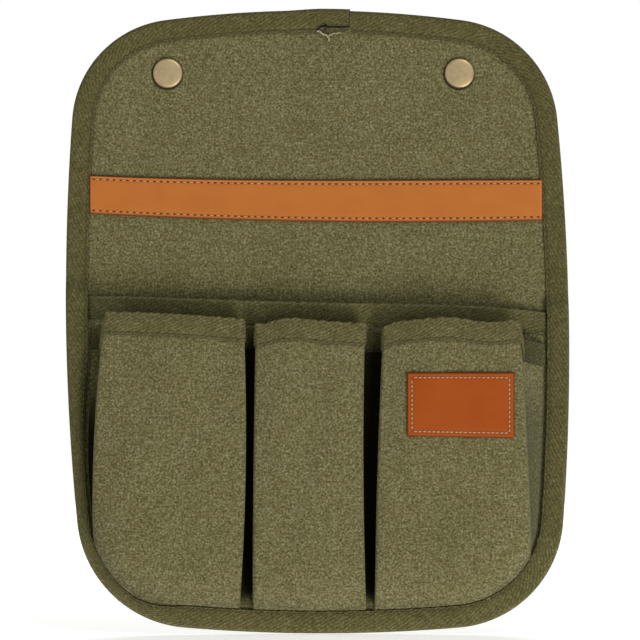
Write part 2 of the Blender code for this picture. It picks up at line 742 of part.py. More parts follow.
def snap_socket(side, flap):
    """Socket behind the flap: floor with the barrel's hole, cavity, groove for the spring, and lip."""
    low = GAP
    top = GAP + SOCKET_HEIGHT
    lip = top - SOCKET_LIP
    groove = lip - 4 * SPRING_WIRE
    r = SOCKET_RADIUS
    hole = BARREL_RADIUS + GAP
    profile = [
        (SOCKET_MOUTH + SOCKET_LIP, top), (0.78 * r, top - EDGE_BREAK), (0.84 * r, 0.87 * top),
        (0.87 * r, 0.55 * top), (0.91 * r, 0.30 * top), (0.98 * r, 0.24 * top), (r, 0.15 * top),
        (0.97 * r, low), (hole, low), (hole, low + SOCKET_FLOOR), (SOCKET_CAVITY, low + SOCKET_FLOOR),
        (SOCKET_CAVITY, groove - 2 * EDGE_BREAK), (GROOVE_RADIUS, groove), (GROOVE_RADIUS, lip),
        (SOCKET_MOUTH, lip + EDGE_BREAK), (SOCKET_MOUTH, top - EDGE_BREAK),
    ]
    turned("snap_socket_" + side, profile, True, 20, (SNAP_X[side], up(SNAP_UP)), 1, BRASS, flap)


def snap_spring(side, flap):
    """Split ring of wire in the socket's groove, which grips the stud's neck."""
    curve = bpy.data.curves.new("snap_spring_" + side, "CURVE")
    curve.dimensions = "3D"
    curve.bevel_depth = SPRING_WIRE
    curve.bevel_resolution = 1
    curve.use_fill_caps = True
    spline = curve.splines.new("POLY")
    y = GAP + SOCKET_HEIGHT - SOCKET_LIP - 2 * SPRING_WIRE
    angles = np.radians(np.linspace(0, SPRING_SWEEP, 16))
    spline.points.add(len(angles) - 1)
    for point, angle in zip(spline.points, angles):
        x = SNAP_X[side] + SPRING_RADIUS * np.cos(angle)
        z = up(SNAP_UP) + SPRING_RADIUS * np.sin(angle)
        point.co = (x, y, z, 1.0)
    add_object("snap_spring_" + side, curve, SPRING_STEEL, flap)


def snap_stud(side):
    """Stud on the lining: base, neck and bulbed head, bored for the post and recessed for its spread end."""
    low = GAP
    base = GAP + STUD_BASE
    top = base + STUD_TOP
    bore = POST_BARREL + GAP
    profile = [
        (STUD_RECESS + 4 * EDGE_BREAK, top), (0.97 * STUD_HEAD, top - 2 * EDGE_BREAK),
        (STUD_HEAD, top - 0.25 * STUD_TOP), (0.96 * STUD_HEAD, top - 0.39 * STUD_TOP),
        (STUD_NECK, top - 0.50 * STUD_TOP), (STUD_NECK, base + 3 * EDGE_BREAK),
        (STUD_NECK + 4 * EDGE_BREAK, base), (0.90 * STUD_BASE_RADIUS, base),
        (STUD_BASE_RADIUS, base - 3 * EDGE_BREAK), (0.98 * STUD_BASE_RADIUS, low), (bore, low),
        (bore, top - RECESS_DEPTH - 2 * EDGE_BREAK), (STUD_RECESS, top - RECESS_DEPTH),
        (STUD_RECESS, top - EDGE_BREAK),
    ]
    turned("snap_stud_" + side, profile, True, 20, (SNAP_X[side], up(STUD_UP)), 1, BRASS)


def snap_post(side):
    """Post that holds the stud: flange inside the wide pocket, barrel through the cloth, spread end."""
    front = PANEL_FRONT - GAP
    head_top = GAP + STUD_BASE + STUD_TOP
    top = head_top - EDGE_BREAK
    seat = head_top - RECESS_DEPTH + GAP
    r = POST_FLANGE_RADIUS
    profile = [
        (0.0, top), (0.88 * POST_SPREAD, top), (POST_SPREAD, top - 2 * EDGE_BREAK), (POST_SPREAD, seat),
        (POST_BARREL, seat), (POST_BARREL, front), (0.94 * r, front), (r, front - 2 * EDGE_BREAK),
        (0.97 * r, front - 5 * EDGE_BREAK), (0.90 * r, front - POST_FLANGE), (0.0, front - POST_FLANGE),
    ]
    turned("snap_post_" + side, profile, False, 20, (SNAP_X[side], up(STUD_UP)), 1, BRASS)


GROUP = start_scene()
CANVAS_CLOTH = material("waxed_olive_canvas", "#6E6B47", 0.85)
LINING_CLOTH = material("olive_lining", "#5E5C40", 0.9)
BINDING_TAPE = material("olive_twill_binding", "#585430", 0.85)
POCKET_TAPE = material("olive_twill_tape", "#5C5833", 0.85)
LEATHER_TAN = material("tan_leather", "#B76D34", 0.55)
PATCH_LEATHER = material("rust_leather", "#B8541E", 0.5)
BRASS = material("antique_brass", "#A8926E", 0.35, 1.0)
SPRING_STEEL = material("spring_steel", "#9A9A9C", 0.3, 1.0)

flap_body = joint_empty("flap_fold_axis", (0.0, FOLD_AXIS_Y, FOLD_Z))
pocket_bodies = {
    pocket: joint_empty("pocket_" + pocket + "_axis", (
        leaned((size["edge_left"][0] + size["edge_right"][0]) / 2, SEAM_Z), STRIP_Y, SEAM_Z))
    for pocket, size in POCKETS.items()
}
panels(flap_body)
bindings(flap_body)
leather_strips(flap_body)
wide_pocket()
bellows_pockets(pocket_bodies)
pleats()
label_patch(pocket_bodies["right"])
for name in SNAP_X:
    snap_cap(name, flap_body)
    snap_socket(name, flap_body)
    snap_spring(name, flap_body)
    snap_stud(name)
    snap_post(name)
bpy.context.view_layer.update()
print("fold axis y %.5f z %.5f, pocket axis y %.5f z %.5f" % (FOLD_AXIS_Y, FOLD_Z, STRIP_Y, SEAM_Z))
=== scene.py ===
# Looks of the camp chair armrest organizer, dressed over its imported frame: a bound canvas panel with a leather
# strip, two snaps, one wide flat pocket and three bellows pockets. X runs across, -Y is the front, Z is up.
from functools import partial
import bpy
import numpy as np
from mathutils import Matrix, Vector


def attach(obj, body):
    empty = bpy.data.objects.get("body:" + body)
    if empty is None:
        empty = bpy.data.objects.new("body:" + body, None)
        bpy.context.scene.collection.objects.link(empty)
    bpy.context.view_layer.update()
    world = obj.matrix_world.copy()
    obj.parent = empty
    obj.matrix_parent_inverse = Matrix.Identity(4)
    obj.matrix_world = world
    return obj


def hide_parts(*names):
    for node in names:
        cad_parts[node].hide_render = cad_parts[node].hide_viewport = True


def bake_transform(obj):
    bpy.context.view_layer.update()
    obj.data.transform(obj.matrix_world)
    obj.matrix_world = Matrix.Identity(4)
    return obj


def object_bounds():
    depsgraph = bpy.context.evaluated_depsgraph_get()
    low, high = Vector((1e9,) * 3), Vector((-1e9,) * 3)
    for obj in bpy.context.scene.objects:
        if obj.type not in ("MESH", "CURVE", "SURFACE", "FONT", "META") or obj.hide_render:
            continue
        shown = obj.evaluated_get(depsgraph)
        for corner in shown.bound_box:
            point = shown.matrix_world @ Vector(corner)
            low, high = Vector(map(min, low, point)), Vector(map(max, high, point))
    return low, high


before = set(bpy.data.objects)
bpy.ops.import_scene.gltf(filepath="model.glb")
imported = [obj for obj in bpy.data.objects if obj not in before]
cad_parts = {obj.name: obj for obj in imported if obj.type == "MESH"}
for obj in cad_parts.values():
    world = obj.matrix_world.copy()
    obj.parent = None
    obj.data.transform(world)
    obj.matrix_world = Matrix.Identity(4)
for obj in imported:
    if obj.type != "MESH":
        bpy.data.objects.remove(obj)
cadBounds = [list(corner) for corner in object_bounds()]
random = np.random.default_rng(7)

# The panel's outline and layers, as in the CAD
panel = {
    "width": 0.290, "height": 0.3592, "topBow": 0.655, "sideBow": 1.36, "bottomBow": 0.945,
    "topCorner": 0.0625, "bottomCorner": 0.0665, "lean": -0.0137, "centreZ": -0.0337, "originUp": 0.2133,
    "foldZ": 0.0365, "bend": 0.007, "liningY": -0.0003, "canvasY": -0.0013, "wideY": -0.0034, "stripY": -0.0055,
    "clothInset": 0.003, "waveHeight": 0.00045, "dentDepth": 0.0005,
}
# thicknesses, the gap between layers, and the tape's width unfolded
cloth = {"canvas": 0.0008, "lining": 0.0006, "tape": 0.0007, "gap": 0.0003, "tapeFlat": 0.026}


# World z of a height above the bottom edge
def up(height):
    return height - panel["originUp"]


# Upright x moved sideways in proportion to the height above the panel's middle
def leaned(x, z):
    return x + panel["lean"] * (z - panel["centreZ"])


# The same x moved back
def upright(x, z):
    return x - panel["lean"] * (z - panel["centreZ"])


# 0 below 0, 1 above 1 and 3t² - 2t³ between
def smooth(t):
    t = np.clip(t, 0.0, 1.0)
    return t * t * (3 - 2 * t)


# Sum of five sines whose wavelengths spread round the given one, with seeded phases: about -1 to 1
def ripple(along, wavelength, seed):
    draw = np.random.default_rng(seed)
    lengths = wavelength * draw.uniform(0.6, 1.7, 5)
    phases = draw.uniform(0, 2 * np.pi, 5)
    along = np.asarray(along)[..., None]
    return np.sin(2 * np.pi * along / lengths + phases).sum(-1) / 2.5


# Parabola through the values at the bottom (0), the middle (0.5) and the mouth (1)
def through(ends, t):
    low, middle, high = ends
    return low * (1 - t) * (1 - 2 * t) + 4 * middle * t * (1 - t) + high * t * (2 * t - 1)


# Least squares polynomial through measured places across and heights
def measuredLine(line, degree):
    return np.polynomial.Polynomial.fit(np.array(line["x"]) / 1000, np.array(line["height"]) / 1000, degree)


# Centre of a corner arc that lies inside the side arc and the end arc, by the cosine rule on the radii
def cornerCentre(bow, corner, sign):
    sideX = panel["width"] / 2 - panel["sideBow"]
    endZ = sign * (panel["height"] / 2 - bow)
    toSide = panel["sideBow"] - corner
    toEnd = bow - corner
    far = np.hypot(sideX, endZ)
    turn = np.arccos((toSide ** 2 + far ** 2 - toEnd ** 2) / (2 * toSide * far))
    angle = np.arctan2(endZ, -sideX) + sign * turn
    return np.array([sideX + toSide * np.cos(angle), panel["centreZ"] + toSide * np.sin(angle)])


topCorner = cornerCentre(panel["topBow"], panel["topCorner"], 1)
bottomCorner = cornerCentre(panel["bottomBow"], panel["bottomCorner"], -1)
sideCentre = np.array([panel["width"] / 2 - panel["sideBow"], panel["centreZ"]])


# Angle of the direction from one point to another
def angleTo(start, end):
    return np.arctan2(end[1] - start[1], end[0] - start[0])


# Half width of the outline at z, moved in by an inset: the side arc, or below it the bottom corner's arc
def sideReach(z, inset):
    bow = panel["sideBow"] - inset
    change = panel["centreZ"] + bow * np.sin(angleTo(sideCentre, bottomCorner))
    side = sideCentre[0] + np.sqrt(bow ** 2 - (z - panel["centreZ"]) ** 2)
    corner = panel["bottomCorner"] - inset
    below = np.clip(bottomCorner[1] - z, 0.0, corner)
    return np.where(z >= change, side, bottomCorner[0] + np.sqrt(corner ** 2 - below ** 2))


# z of the outline's end at x, moved in by an inset: the bow arc, or beside it the corner arc
def endHeight(x, inset, sign):
    bow, corner, centre = (
        (panel["topBow"], panel["topCorner"], topCorner) if sign > 0
        else (panel["bottomBow"], panel["bottomCorner"], bottomCorner))
    bowZ = panel["centreZ"] + sign * (panel["height"] / 2 - bow)
    turn = angleTo((0.0, bowZ), centre)
    change = (bow - inset) * np.cos(turn)
    x = np.abs(x)
    flat = bowZ + sign * np.sqrt((bow - inset) ** 2 - np.minimum(x, change) ** 2)
    aside = np.clip(x - centre[0], 0.0, corner - inset)
    return np.where(x <= change, flat, centre[1] + sign * np.sqrt((corner - inset) ** 2 - aside ** 2))


# Stations round the edge, clockwise from the top's middle: x, z and outward x, z, evenly along five arcs
# and then along their mirror images
def edgeLoop(spacing):
    topBow = (0.0, panel["centreZ"] + panel["height"] / 2 - panel["topBow"])
    bottomBow = (0.0, panel["centreZ"] - panel["height"] / 2 + panel["bottomBow"])
    angles = [np.pi / 2, angleTo(topBow, topCorner), angleTo(sideCentre, topCorner),
              angleTo(sideCentre, bottomCorner), angleTo(bottomBow, bottomCorner), -np.pi / 2]
    centres = topBow, topCorner, sideCentre, bottomCorner, bottomBow
    radii = [panel[key] for key in ("topBow", "topCorner", "sideBow", "bottomCorner", "bottomBow")]
    arcs = []
    for centre, radius, start, end in zip(centres, radii, angles, angles[1:]):
        count = max(2, round(radius * abs(end - start) / spacing))
        turn = np.linspace(start, end, count, endpoint=False)
        way = np.column_stack([np.cos(turn), np.sin(turn)])
        arcs.append(np.hstack([np.array(centre) + radius * way, way]))
    right = np.vstack(arcs)
    bottom = np.array([[0.0, panel["centreZ"] - panel["height"] / 2, 0.0, -1.0]])
    left = right[:0:-1] * np.array([-1, 1, -1, 1])
    return np.vstack([right, bottom, left])


# Nodes and materials


# Linear RGBA of an sRGB hex colour
def linear(code):
    values = np.array([int(code[i:i + 2], 16) / 255 for i in (1, 3, 5)])
    values = np.where(values <= 0.04045, values / 12.92, ((values + 0.055) / 1.055) ** 2.4)
    return (*values.tolist(), 1.0)


# One node of a tree. A kind in capitals is the operation of a Math node. Its inputs come in order, or in one
# dictionary by name or number, as values or as sockets to link from. Stops are a colour ramp's positions and hex
# colours, settings are the node's properties, and out is the output that is handed back. A MapRange takes its
# value, the two ends that this comes from and the two that it goes to, 0 and 1 where they aren't given.
def addNode(tree, kind, *inputs, out=0, stops=(), **settings):
    if kind.isupper():
        kind, settings["operation"] = "Math", kind
    made = tree.nodes.new("ShaderNode" + kind)
    for key, value in settings.items():
        setattr(made, key, value)
    feeds = inputs[0] if inputs and isinstance(inputs[0], dict) else dict(enumerate(inputs))
    for key, value in feeds.items():
        if isinstance(value, bpy.types.NodeSocket):
            tree.links.new(value, made.inputs[key])
        else:
            made.inputs[key].default_value = value
    if stops:
        elements = made.color_ramp.elements
        while len(elements) < len(stops):
            elements.new(0.5)
        for element, (position, colour) in zip(elements, stops):
            element.position = position
            element.color = linear(colour)
    return made.outputs[out] if made.outputs else made


# New material, the function that adds nodes to it, its shader, and its cloth map's u and v in millimetres
def startMaterial(name, roughness, specular=0.5, sheen=0.0):
    made = bpy.data.materials.new(name)
    made.use_nodes = True
    shader = made.node_tree.nodes["Principled BSDF"]
    for key, value in (("Roughness", roughness), ("Specular IOR Level", specular), ("Sheen Weight", sheen),
                       ("Sheen Roughness", 0.6)):
        shader.inputs[key].default_value = value
    add = partial(addNode, made.node_tree)
    millimetres = add("VectorMath", add("UVMap", uv_map="cloth"), (1000, 1000, 1000), operation="MULTIPLY")
    parts = add("SeparateXYZ", millimetres).node.outputs
    return made, add, shader, parts["X"], parts["Y"]


# Colour joined to the shader, and under it a bump from a height between 0 and about 1, as deep as given in metres
def setSurface(add, shader, colour, height, strength, deep):
    links = shader.id_data.links
    links.new(colour, shader.inputs["Base Color"])
    links.new(add("Bump", {"Height": height, "Strength": strength, "Distance": deep}), shader.inputs["Normal"])


# Uneven tone between 0 and 1, in patches one unit wide at x and y, each use in a layer of its own
def patchy(add, x, y, layer, detail=2.0, roughness=0.5):
    return add("TexNoise", {"Vector": add("CombineXYZ", x, y, layer), "Scale": 1.0, "Detail": detail,
                            "Roughness": roughness})


# Part of the way from one value to another: first times one less the share, and second times the share
def between(add, share, first, second):
    return add("ADD", add("MULTIPLY", first, add("SUBTRACT", 1.0, share)), add("MULTIPLY", second, share))


# Distance from a value, always positive
def apart(add, value, other):
    return add("ABSOLUTE", add("SUBTRACT", value, other))


# Colour darkened towards near black by the painted shade kept at the points, standing for the shade deep in folds
# and gaps where no light reaches, so that its gloss of 0.2 goes too
def paintedFoldShade(add, shader, colour):
    depth = add("Attribute", out="Fac", attribute_name="paintedShade")
    gloss = add("MapRange", depth, 0.0, 0.6, 0.2, 0.0)
    shader.id_data.links.new(gloss, shader.inputs["Specular IOR Level"])
    return add("Mix", {0: depth, 6: colour, 7: linear("#0B0A05")}, out=2, data_type="RGBA")


# Plain-woven cloth of uneven yarns: a heathered, salt-and-pepper surface with slubs along warp and weft. The
# yarns, a pitch apart in millimetres, are drawn about twice their real width, so that they hold at the picture's
# size. Round each cap, at (u, v, radius) in millimetres, a painted shadow darkens the cloth beside the metal,
# most of all below it.
def wovenCloth(name, pitch, stops, fleck, relief, sheen, capShadows=()):
    made, add, shader, u, v = startMaterial(name, 0.92, sheen=sheen)
    warpPlace, weftPlace = add("DIVIDE", u, pitch), add("DIVIDE", v, pitch)
    warp, weft = add("FLOOR", warpPlace), add("FLOOR", weftPlace)
    over = add("FLOORED_MODULO", add("ADD", warp, weft), 2.0)
    # each yarn has its own tone, which changes slowly along it
    warpTone = patchy(add, add("MULTIPLY", warp, 7.31), add("MULTIPLY", weftPlace, 0.21), 1.7)
    weftTone = patchy(add, add("MULTIPLY", warpPlace, 0.15), add("MULTIPLY", weft, 5.77), 8.3)
    grain = patchy(add, add("DIVIDE", u, 1.27), add("DIVIDE", v, 1.27), 4.2, 1.2, 0.6)  # fibre clumps of 1.3 mm
    broad = patchy(add, add("DIVIDE", u, 26.0), add("DIVIDE", v, 34.0), 0.4, 3.0)  # handling, about 30 mm wide
    tone = between(add, 0.72, between(add, over, warpTone, weftTone), grain)
    colour = add("ValToRGB", between(add, 0.06, tone, broad), stops=stops)
    # flecks about 2 mm wide where single fibres took the dye darker
    spots = patchy(add, add("DIVIDE", u, 1.9), add("DIVIDE", v, 0.9), 11.0, 1.0)
    spots = add("MapRange", spots, 0.70, 0.78)
    colour = add("Mix", {0: spots, 6: colour, 7: linear(fleck)}, out=2, data_type="RGBA")
    # a painted shadow round each cap
    for place, height, radius in capShadows:
        aside = add("POWER", add("SUBTRACT", u, place - 0.35), 2.0)
        above = add("POWER", add("SUBTRACT", v, height - 0.50), 2.0)  # its middle lies low and to the left
        ring = add("MapRange", add("SQRT", add("ADD", aside, above)), radius + 0.9, radius + 0.2, 0.0, 0.85)
        colour = add("Mix", {0: ring, 6: colour, 7: linear("#17140A")}, out=2, data_type="RGBA")
    crests = [add("SINE", add("MULTIPLY", add("FRACT", yarn), np.pi)) for yarn in (warpPlace, weftPlace)]
    # each yarn is a half sine high, and the one on top shows
    height = add("ADD", between(add, over, *crests), add("MULTIPLY", grain, 1.6))
    setSurface(add, shader, paintedFoldShade(add, shader, colour), height, relief, 0.00022)
    return made


# Twill tape: slanting ribs, dark between them, each rib of uneven yarns. The stitches lie in a channel of painted
# shade, painted shade runs along the inner edge, and where the tape gapes a painted shadow darkens its lowest
# stretch. Over the pockets' hems and at the bottom the tape is lighter; under the lap it is lighter too, painted
# light where the lap shades it; in all of these the painted shade of channel and edge is fainter or gone. Over a
# pocket's mouth a painted highlight lightens its crest. The ribs are drawn wider than real so that they hold.
# Places and widths are in millimetres.
def twillTape(name, stops, ribs, gape=None):
    made, add, shader, u, v = startMaterial(name, 0.9, sheen=0.04)
    cosine, sine = float(np.cos(np.radians(ribs["slant"]))), float(np.sin(np.radians(ribs["slant"])))
    across = add("SUBTRACT", add("MULTIPLY", v, cosine), add("MULTIPLY", u, sine))
    along = add("ADD", add("MULTIPLY", u, cosine), add("MULTIPLY", v, sine))
    wander = patchy(add, add("DIVIDE", u, 5.0), add("DIVIDE", v, 5.0), 2.2)  # the ribs waver every 5 mm
    phase = add("ADD", add("DIVIDE", across, ribs["pitch"]), add("MULTIPLY", wander, ribs["wander"]))
    rib = add("MULTIPLY_ADD", add("SINE", add("MULTIPLY", phase, 2 * np.pi)), 0.5, 0.5)
    # each rib has its own tone, with fibre clumps of 1.2 mm over it, and handling in patches about 20 mm long
    yarn = patchy(add, add("DIVIDE", along, 1.6), add("MULTIPLY", add("FLOOR", phase), 3.7), 6.1)
    grain = patchy(add, add("DIVIDE", u, 1.2), add("DIVIDE", v, 1.2), 9.4, 1.5, 0.6)
    broad = patchy(add, add("DIVIDE", u, 22.0), add("DIVIDE", v, 9.0), 5.0)
    tone = between(add, 0.10, between(add, 0.62, between(add, 0.66, rib, yarn), grain), broad)
    if gape:
        # lighter near the bottom, and under the lap lighter as painted light against the lap's shade
        shown = add("MapRange", apart(add, u, gape["bottom"]), 150.0, 235.0, 0.20)
        under = add("MapRange", u, gape["under"], gape["under"] + 2.0)
        lighter = add("MAXIMUM", add("SUBTRACT", 1.0, shown), add("SUBTRACT", 1.0, under))
        tone = add("MULTIPLY_ADD", lighter, 0.055, tone)
    else:
        # a painted highlight along the crest of the fold
        tone = add("ADD", tone, add("MapRange", apart(add, v, ribs["crest"]), 1.3, 0.4, 0.0, 0.11))
    colour = add("ValToRGB", tone, stops=stops)
    # painted shade in the channel and along the inner edge, and a painted shadow at the cut end of the lap
    channel = add("MapRange", apart(add, v, ribs["channel"]), 0.6, 0.1, 0.0, 0.50)
    dark = add("MAXIMUM", channel, add("MapRange", v, 0.35, 0.0, 0.0, 0.55))
    if gape:
        dark = add("MULTIPLY", dark, add("MULTIPLY", shown, under))
        dark = add("MAXIMUM", dark, add("MapRange", u, gape["end"] - 0.8, gape["end"] - 0.5, 0.0, 0.75))
    colour = add("Mix", {0: dark, 6: colour, 7: linear(ribs["dark"])}, out=2, data_type="RGBA")
    if gape:
        # the painted shadow of the slit below the open lap, highest at its corner
        opened = add("MapRange", u, gape["start"], gape["start"] + 1.5)
        height = add("MapRange", apart(add, u, gape["corner"]), 2.4, 0.6, gape["height"], gape["cornerHeight"])
        slit = add("MULTIPLY", add("MapRange", add("SUBTRACT", height, v), -0.1, 0.25), opened)
        colour = add("Mix", {0: slit, 6: colour, 7: linear("#070603")}, out=2, data_type="RGBA")
    height = add("ADD", rib, add("MULTIPLY", grain, 1.2))
    setSurface(add, shader, paintedFoldShade(add, shader, colour), height, 0.5, 0.00028)
    return made


# Smooth leather with a faint pore grain: a painted highlight where its edges are raised, painted shade in the
# stitch channel, and a dark cut rim, partly the edge's own burnished colour and partly painted shadow. The
# strip's channels run along its two long sides only, painted shade marks the needle holes between the stitches, a
# pitch apart, and its lower rim, which stands a little off the canvas, is the wider one, for the painted shadow
# below it.
def smoothLeather(name, stops, edge, size, roughness, holes=None):
    made, add, shader, u, v = startMaterial(name, roughness, 0.15)
    aside = add("MINIMUM", u, add("SUBTRACT", size[0] * 1000, u))
    above = add("MINIMUM", v, add("SUBTRACT", size[1] * 1000, v))
    rim = add("MINIMUM", aside, above)
    # the hide's own patches, its fine grain and its pores
    broad = patchy(add, add("DIVIDE", u, 14.0), add("DIVIDE", v, 8.0), 0.7, 4.0)
    fine = patchy(add, add("DIVIDE", u, 0.5), add("DIVIDE", v, 0.5), 2.0, 3.0)
    place = add("CombineXYZ", add("DIVIDE", u, 0.9), add("DIVIDE", v, 0.8))
    pores = add("TexVoronoi", {"Vector": place, "Scale": 1.0}, feature="DISTANCE_TO_EDGE")
    colour = add("ValToRGB", between(add, 0.6, broad, fine), stops=stops)
    # a painted highlight on the raised edges
    lift = add("MapRange", rim, edge["raised"], 0.1, 0.0, edge["share"])
    colour = add("Mix", {0: lift, 6: colour, 7: linear(edge["light"])}, out=2, data_type="RGBA")
    # painted shade in the stitch channel, and a dark cut rim, partly burnished colour and partly painted shadow
    offLine = apart(add, above if holes else rim, edge["channel"])
    channel = add("MapRange", offLine, 0.75, 0.1, 0.0, 0.28)
    cut = add("MINIMUM", rim, add("SUBTRACT", v, 0.35)) if holes else rim
    dark = add("MAXIMUM", channel, add("MapRange", cut, 0.95, 0.45, 0.0, 0.85))
    if holes:
        # an ellipse of painted shade at each needle hole
        turns = add("DIVIDE", add("SUBTRACT", u, holes["start"]), holes["pitch"])
        beside = apart(add, add("FRACT", add("ADD", turns, 0.5)), 0.5)
        beside = add("POWER", add("MULTIPLY", beside, holes["pitch"] / holes["long"]), 2.0)
        across = add("POWER", add("DIVIDE", offLine, holes["wide"]), 2.0)
        dark = add("MAXIMUM", dark, add("MapRange", add("ADD", beside, across), 1.3, 0.4))
    colour = add("Mix", {0: dark, 6: colour, 7: linear(edge["dark"])}, out=2, data_type="RGBA")
    height = add("ADD", add("MINIMUM", pores, 0.25), add("MULTIPLY", fine, 0.5))
    setSurface(add, shader, colour, height, 0.25, 0.0002)
    return made


# Twisted sewing thread: slanting plies, and painted shade where each stitch dives into its hole
def sewingThread(name, colour, shade, hole):
    made, add, shader, u, v = startMaterial(name, 0.75, 0.3)
    ply = add("SINE", add("ADD", add("MULTIPLY", u, 9.0), add("MULTIPLY", v, 12.5)))
    tone = add("ValToRGB", add("MULTIPLY_ADD", ply, 0.5, 0.5), stops=((0.2, shade), (0.8, colour)))
    holeShade = add("MapRange", add("ABSOLUTE", u), 0.55, 1.0)
    tone = add("Mix", {0: holeShade, 6: tone, 7: linear(hole)}, out=2, data_type="RGBA")
    setSurface(add, shader, tone, ply, 0.4, 0.0001)
    return made


# Metal with a soft lustre, tumbled rather than turned, with a darker patina in patches and fine scratches
def agedMetal(name, colour, dark, roughness):
    made, add, shader, _, _ = startMaterial(name, roughness)
    shader.inputs["Metallic"].default_value = 1.0
    place = add("VectorMath", add("TexCoord", out="Object"), (400, 400, 400), operation="MULTIPLY")
    patches = add("TexNoise", {"Vector": place, "Scale": 1.0, "Detail": 4.0})
    scratches = add("TexNoise", {"Vector": place, "Scale": 6.0, "Detail": 2.0})
    tone = add("ValToRGB", patches, stops=((0.25, dark), (0.60, colour)))
    uneven = add("MapRange", patches, 0.0, 1.0, roughness + 0.08, roughness - 0.04)
    shader.id_data.links.new(uneven, shader.inputs["Roughness"])
    setSurface(add, shader, tone, scratches, 0.20, 0.00006)
    return made


snaps = {"x": {"left": -0.0863, "right": 0.0819}, "capZ": up(0.3228), "studZ": up(0.1768), "capRadius": 0.0087}
ribs = {"slant": 27, "pitch": 1.8, "wander": 1.3, "channel": 1.6, "crest": 12.9, "dark": "#1C1A0B"}
caps = [(1000 * upright(x, snaps["capZ"]), 1000 * snaps["capZ"], 1000 * snaps["capRadius"])
        for x in snaps["x"].values()]
looks = {
    # heathered olive canvas, the same cloth on panel and pockets
    "canvas": wovenCloth("waxed_olive_canvas_woven", 0.95, (
        (0.28, "#393517"), (0.42, "#544F2A"), (0.50, "#625D3A"), (0.58, "#706C4A"), (0.72, "#8C8868")),
        "#3A3720", 0.6, 0.04, caps),
    # thinner and closer weave behind
    "lining": wovenCloth("olive_lining_woven", 0.7, (
        (0.26, "#45432C"), (0.45, "#585639"), (0.60, "#66633F"), (0.80, "#7B7853")), "#3F3D27", 0.4, 0.03),
    # darker, ribbed tape on the pocket mouths
    "mouth": twillTape("olive_twill_tape_ribbed", (
        (0.25, "#302D15"), (0.42, "#474421"), (0.55, "#595432"), (0.75, "#787451")), ribs),
    # olive thread on the tapes, tan on the strip, grey-tan on the patch
    "oliveThread": sewingThread("olive_sewing_thread", "#6B6742", "#4A4729", "#2A2816"),
    "looseThread": sewingThread("olive_thread_end", "#A5A178", "#837F58", "#96926A"),
    "tanThread": sewingThread("tan_sewing_thread", "#D9A26A", "#BD814B", "#4A260F"),
    "patchThread": sewingThread("light_sewing_thread", "#BFA383", "#9C8262", "#4B2410"),
    # soft lustre of old brass, and the brighter wire of the springs
    "brass": agedMetal("antique_brass_tumbled", "#A08E6B", "#918060", 0.40),
    "steel": agedMetal("spring_steel_drawn", "#A9A9AB", "#808083", 0.25),
}
print("materials made")


# Meshes


# Object in the scene for a mesh, a lamp or a camera
def addObject(name, data):
    made = bpy.data.objects.new(name, data)
    bpy.context.scene.collection.objects.link(made)
    return made


# Object from corner arrays: faces is a list of index arrays of one row per face, uv holds metres per corner
def meshPiece(name, points, faces, uv, look):
    data = bpy.data.meshes.new(name)
    data.from_pydata(points.reshape(-1, 3).tolist(), [], [row for block in faces for row in block.tolist()])
    corner = np.zeros(len(data.loops), np.int32)
    data.loops.foreach_get("vertex_index", corner)
    layer = data.uv_layers.new(name="cloth")
    layer.data.foreach_set("uv", uv.reshape(-1, 2)[corner].astype(np.float32).ravel())
    data.materials.append(look)
    data.shade_smooth()
    made = addObject(name, data)
    return made


# Quads of a grid of rows and columns whose corners start at an index
def gridFaces(rows, columns, start=0, flip=False):
    corner = start + np.arange(rows * columns).reshape(rows, columns)
    quads = np.stack([corner[:-1, :-1], corner[:-1, 1:], corner[1:, 1:], corner[1:, :-1]], -1).reshape(-1, 4)
    return quads[:, ::-1] if flip else quads


# Cloth through a grid of points, rows upwards and columns to the right, its thickness by Solidify
def gridSheet(name, points, u, v, thickness, look):
    points = points.copy()
    points[..., 0] = leaned(points[..., 0], points[..., 2])
    uv = np.stack(np.broadcast_arrays(u, v), -1)
    made = meshPiece(name, points, [gridFaces(*points.shape[:2])], uv, look)
    solid = made.modifiers.new("Thickness", "SOLIDIFY")
    solid.thickness = thickness
    solid.offset = 0.0
    return made


# Painted shade at each of a piece's points, 0 for none and 1 for near black
def addPaintedShade(made, depth):
    layer = made.data.attributes.new("paintedShade", "FLOAT", "POINT")
    layer.data.foreach_set("value", depth.astype(np.float32).ravel())


# Closed slab between a front grid and a back grid of the same size, joined round their rims
def slab(name, front, back, u, v, look):
    rows, columns = front.shape[:2]
    points = np.stack([front, back])
    points[..., 0] = leaned(points[..., 0], points[..., 2])
    corner = np.arange(rows * columns).reshape(rows, columns)
    rim = np.concatenate([corner[0, :-1], corner[:-1, -1], corner[-1, :0:-1], corner[:0:-1, 0]])
    behind = rim + rows * columns
    sides = np.stack([np.roll(rim, -1), rim, behind, np.roll(behind, -1)], -1)
    uv = np.stack(np.broadcast_arrays(u, v), -1)
    faces = [gridFaces(rows, columns), gridFaces(rows, columns, rows * columns, True), sides]
    return meshPiece(name, points, faces, np.stack([uv, uv]), look)


# Distance walked along rows of points, 0 at the first column
def walked(points):
    steps = np.linalg.norm(np.diff(points, axis=-2), axis=-1)
    return np.concatenate([np.zeros(steps.shape[:-1] + (1,)), np.cumsum(steps, -1)], -1)


# Points moved sideways in plan, square to each row: outward is to the right of the way along it
def movedOut(points, distance):
    way = np.gradient(points[..., :2], axis=-2)
    way /= np.linalg.norm(way, axis=-1, keepdims=True)
    moved = points.copy()
    moved[..., 0] += distance * way[..., 1]
    moved[..., 1] -= distance * way[..., 0]
    return moved


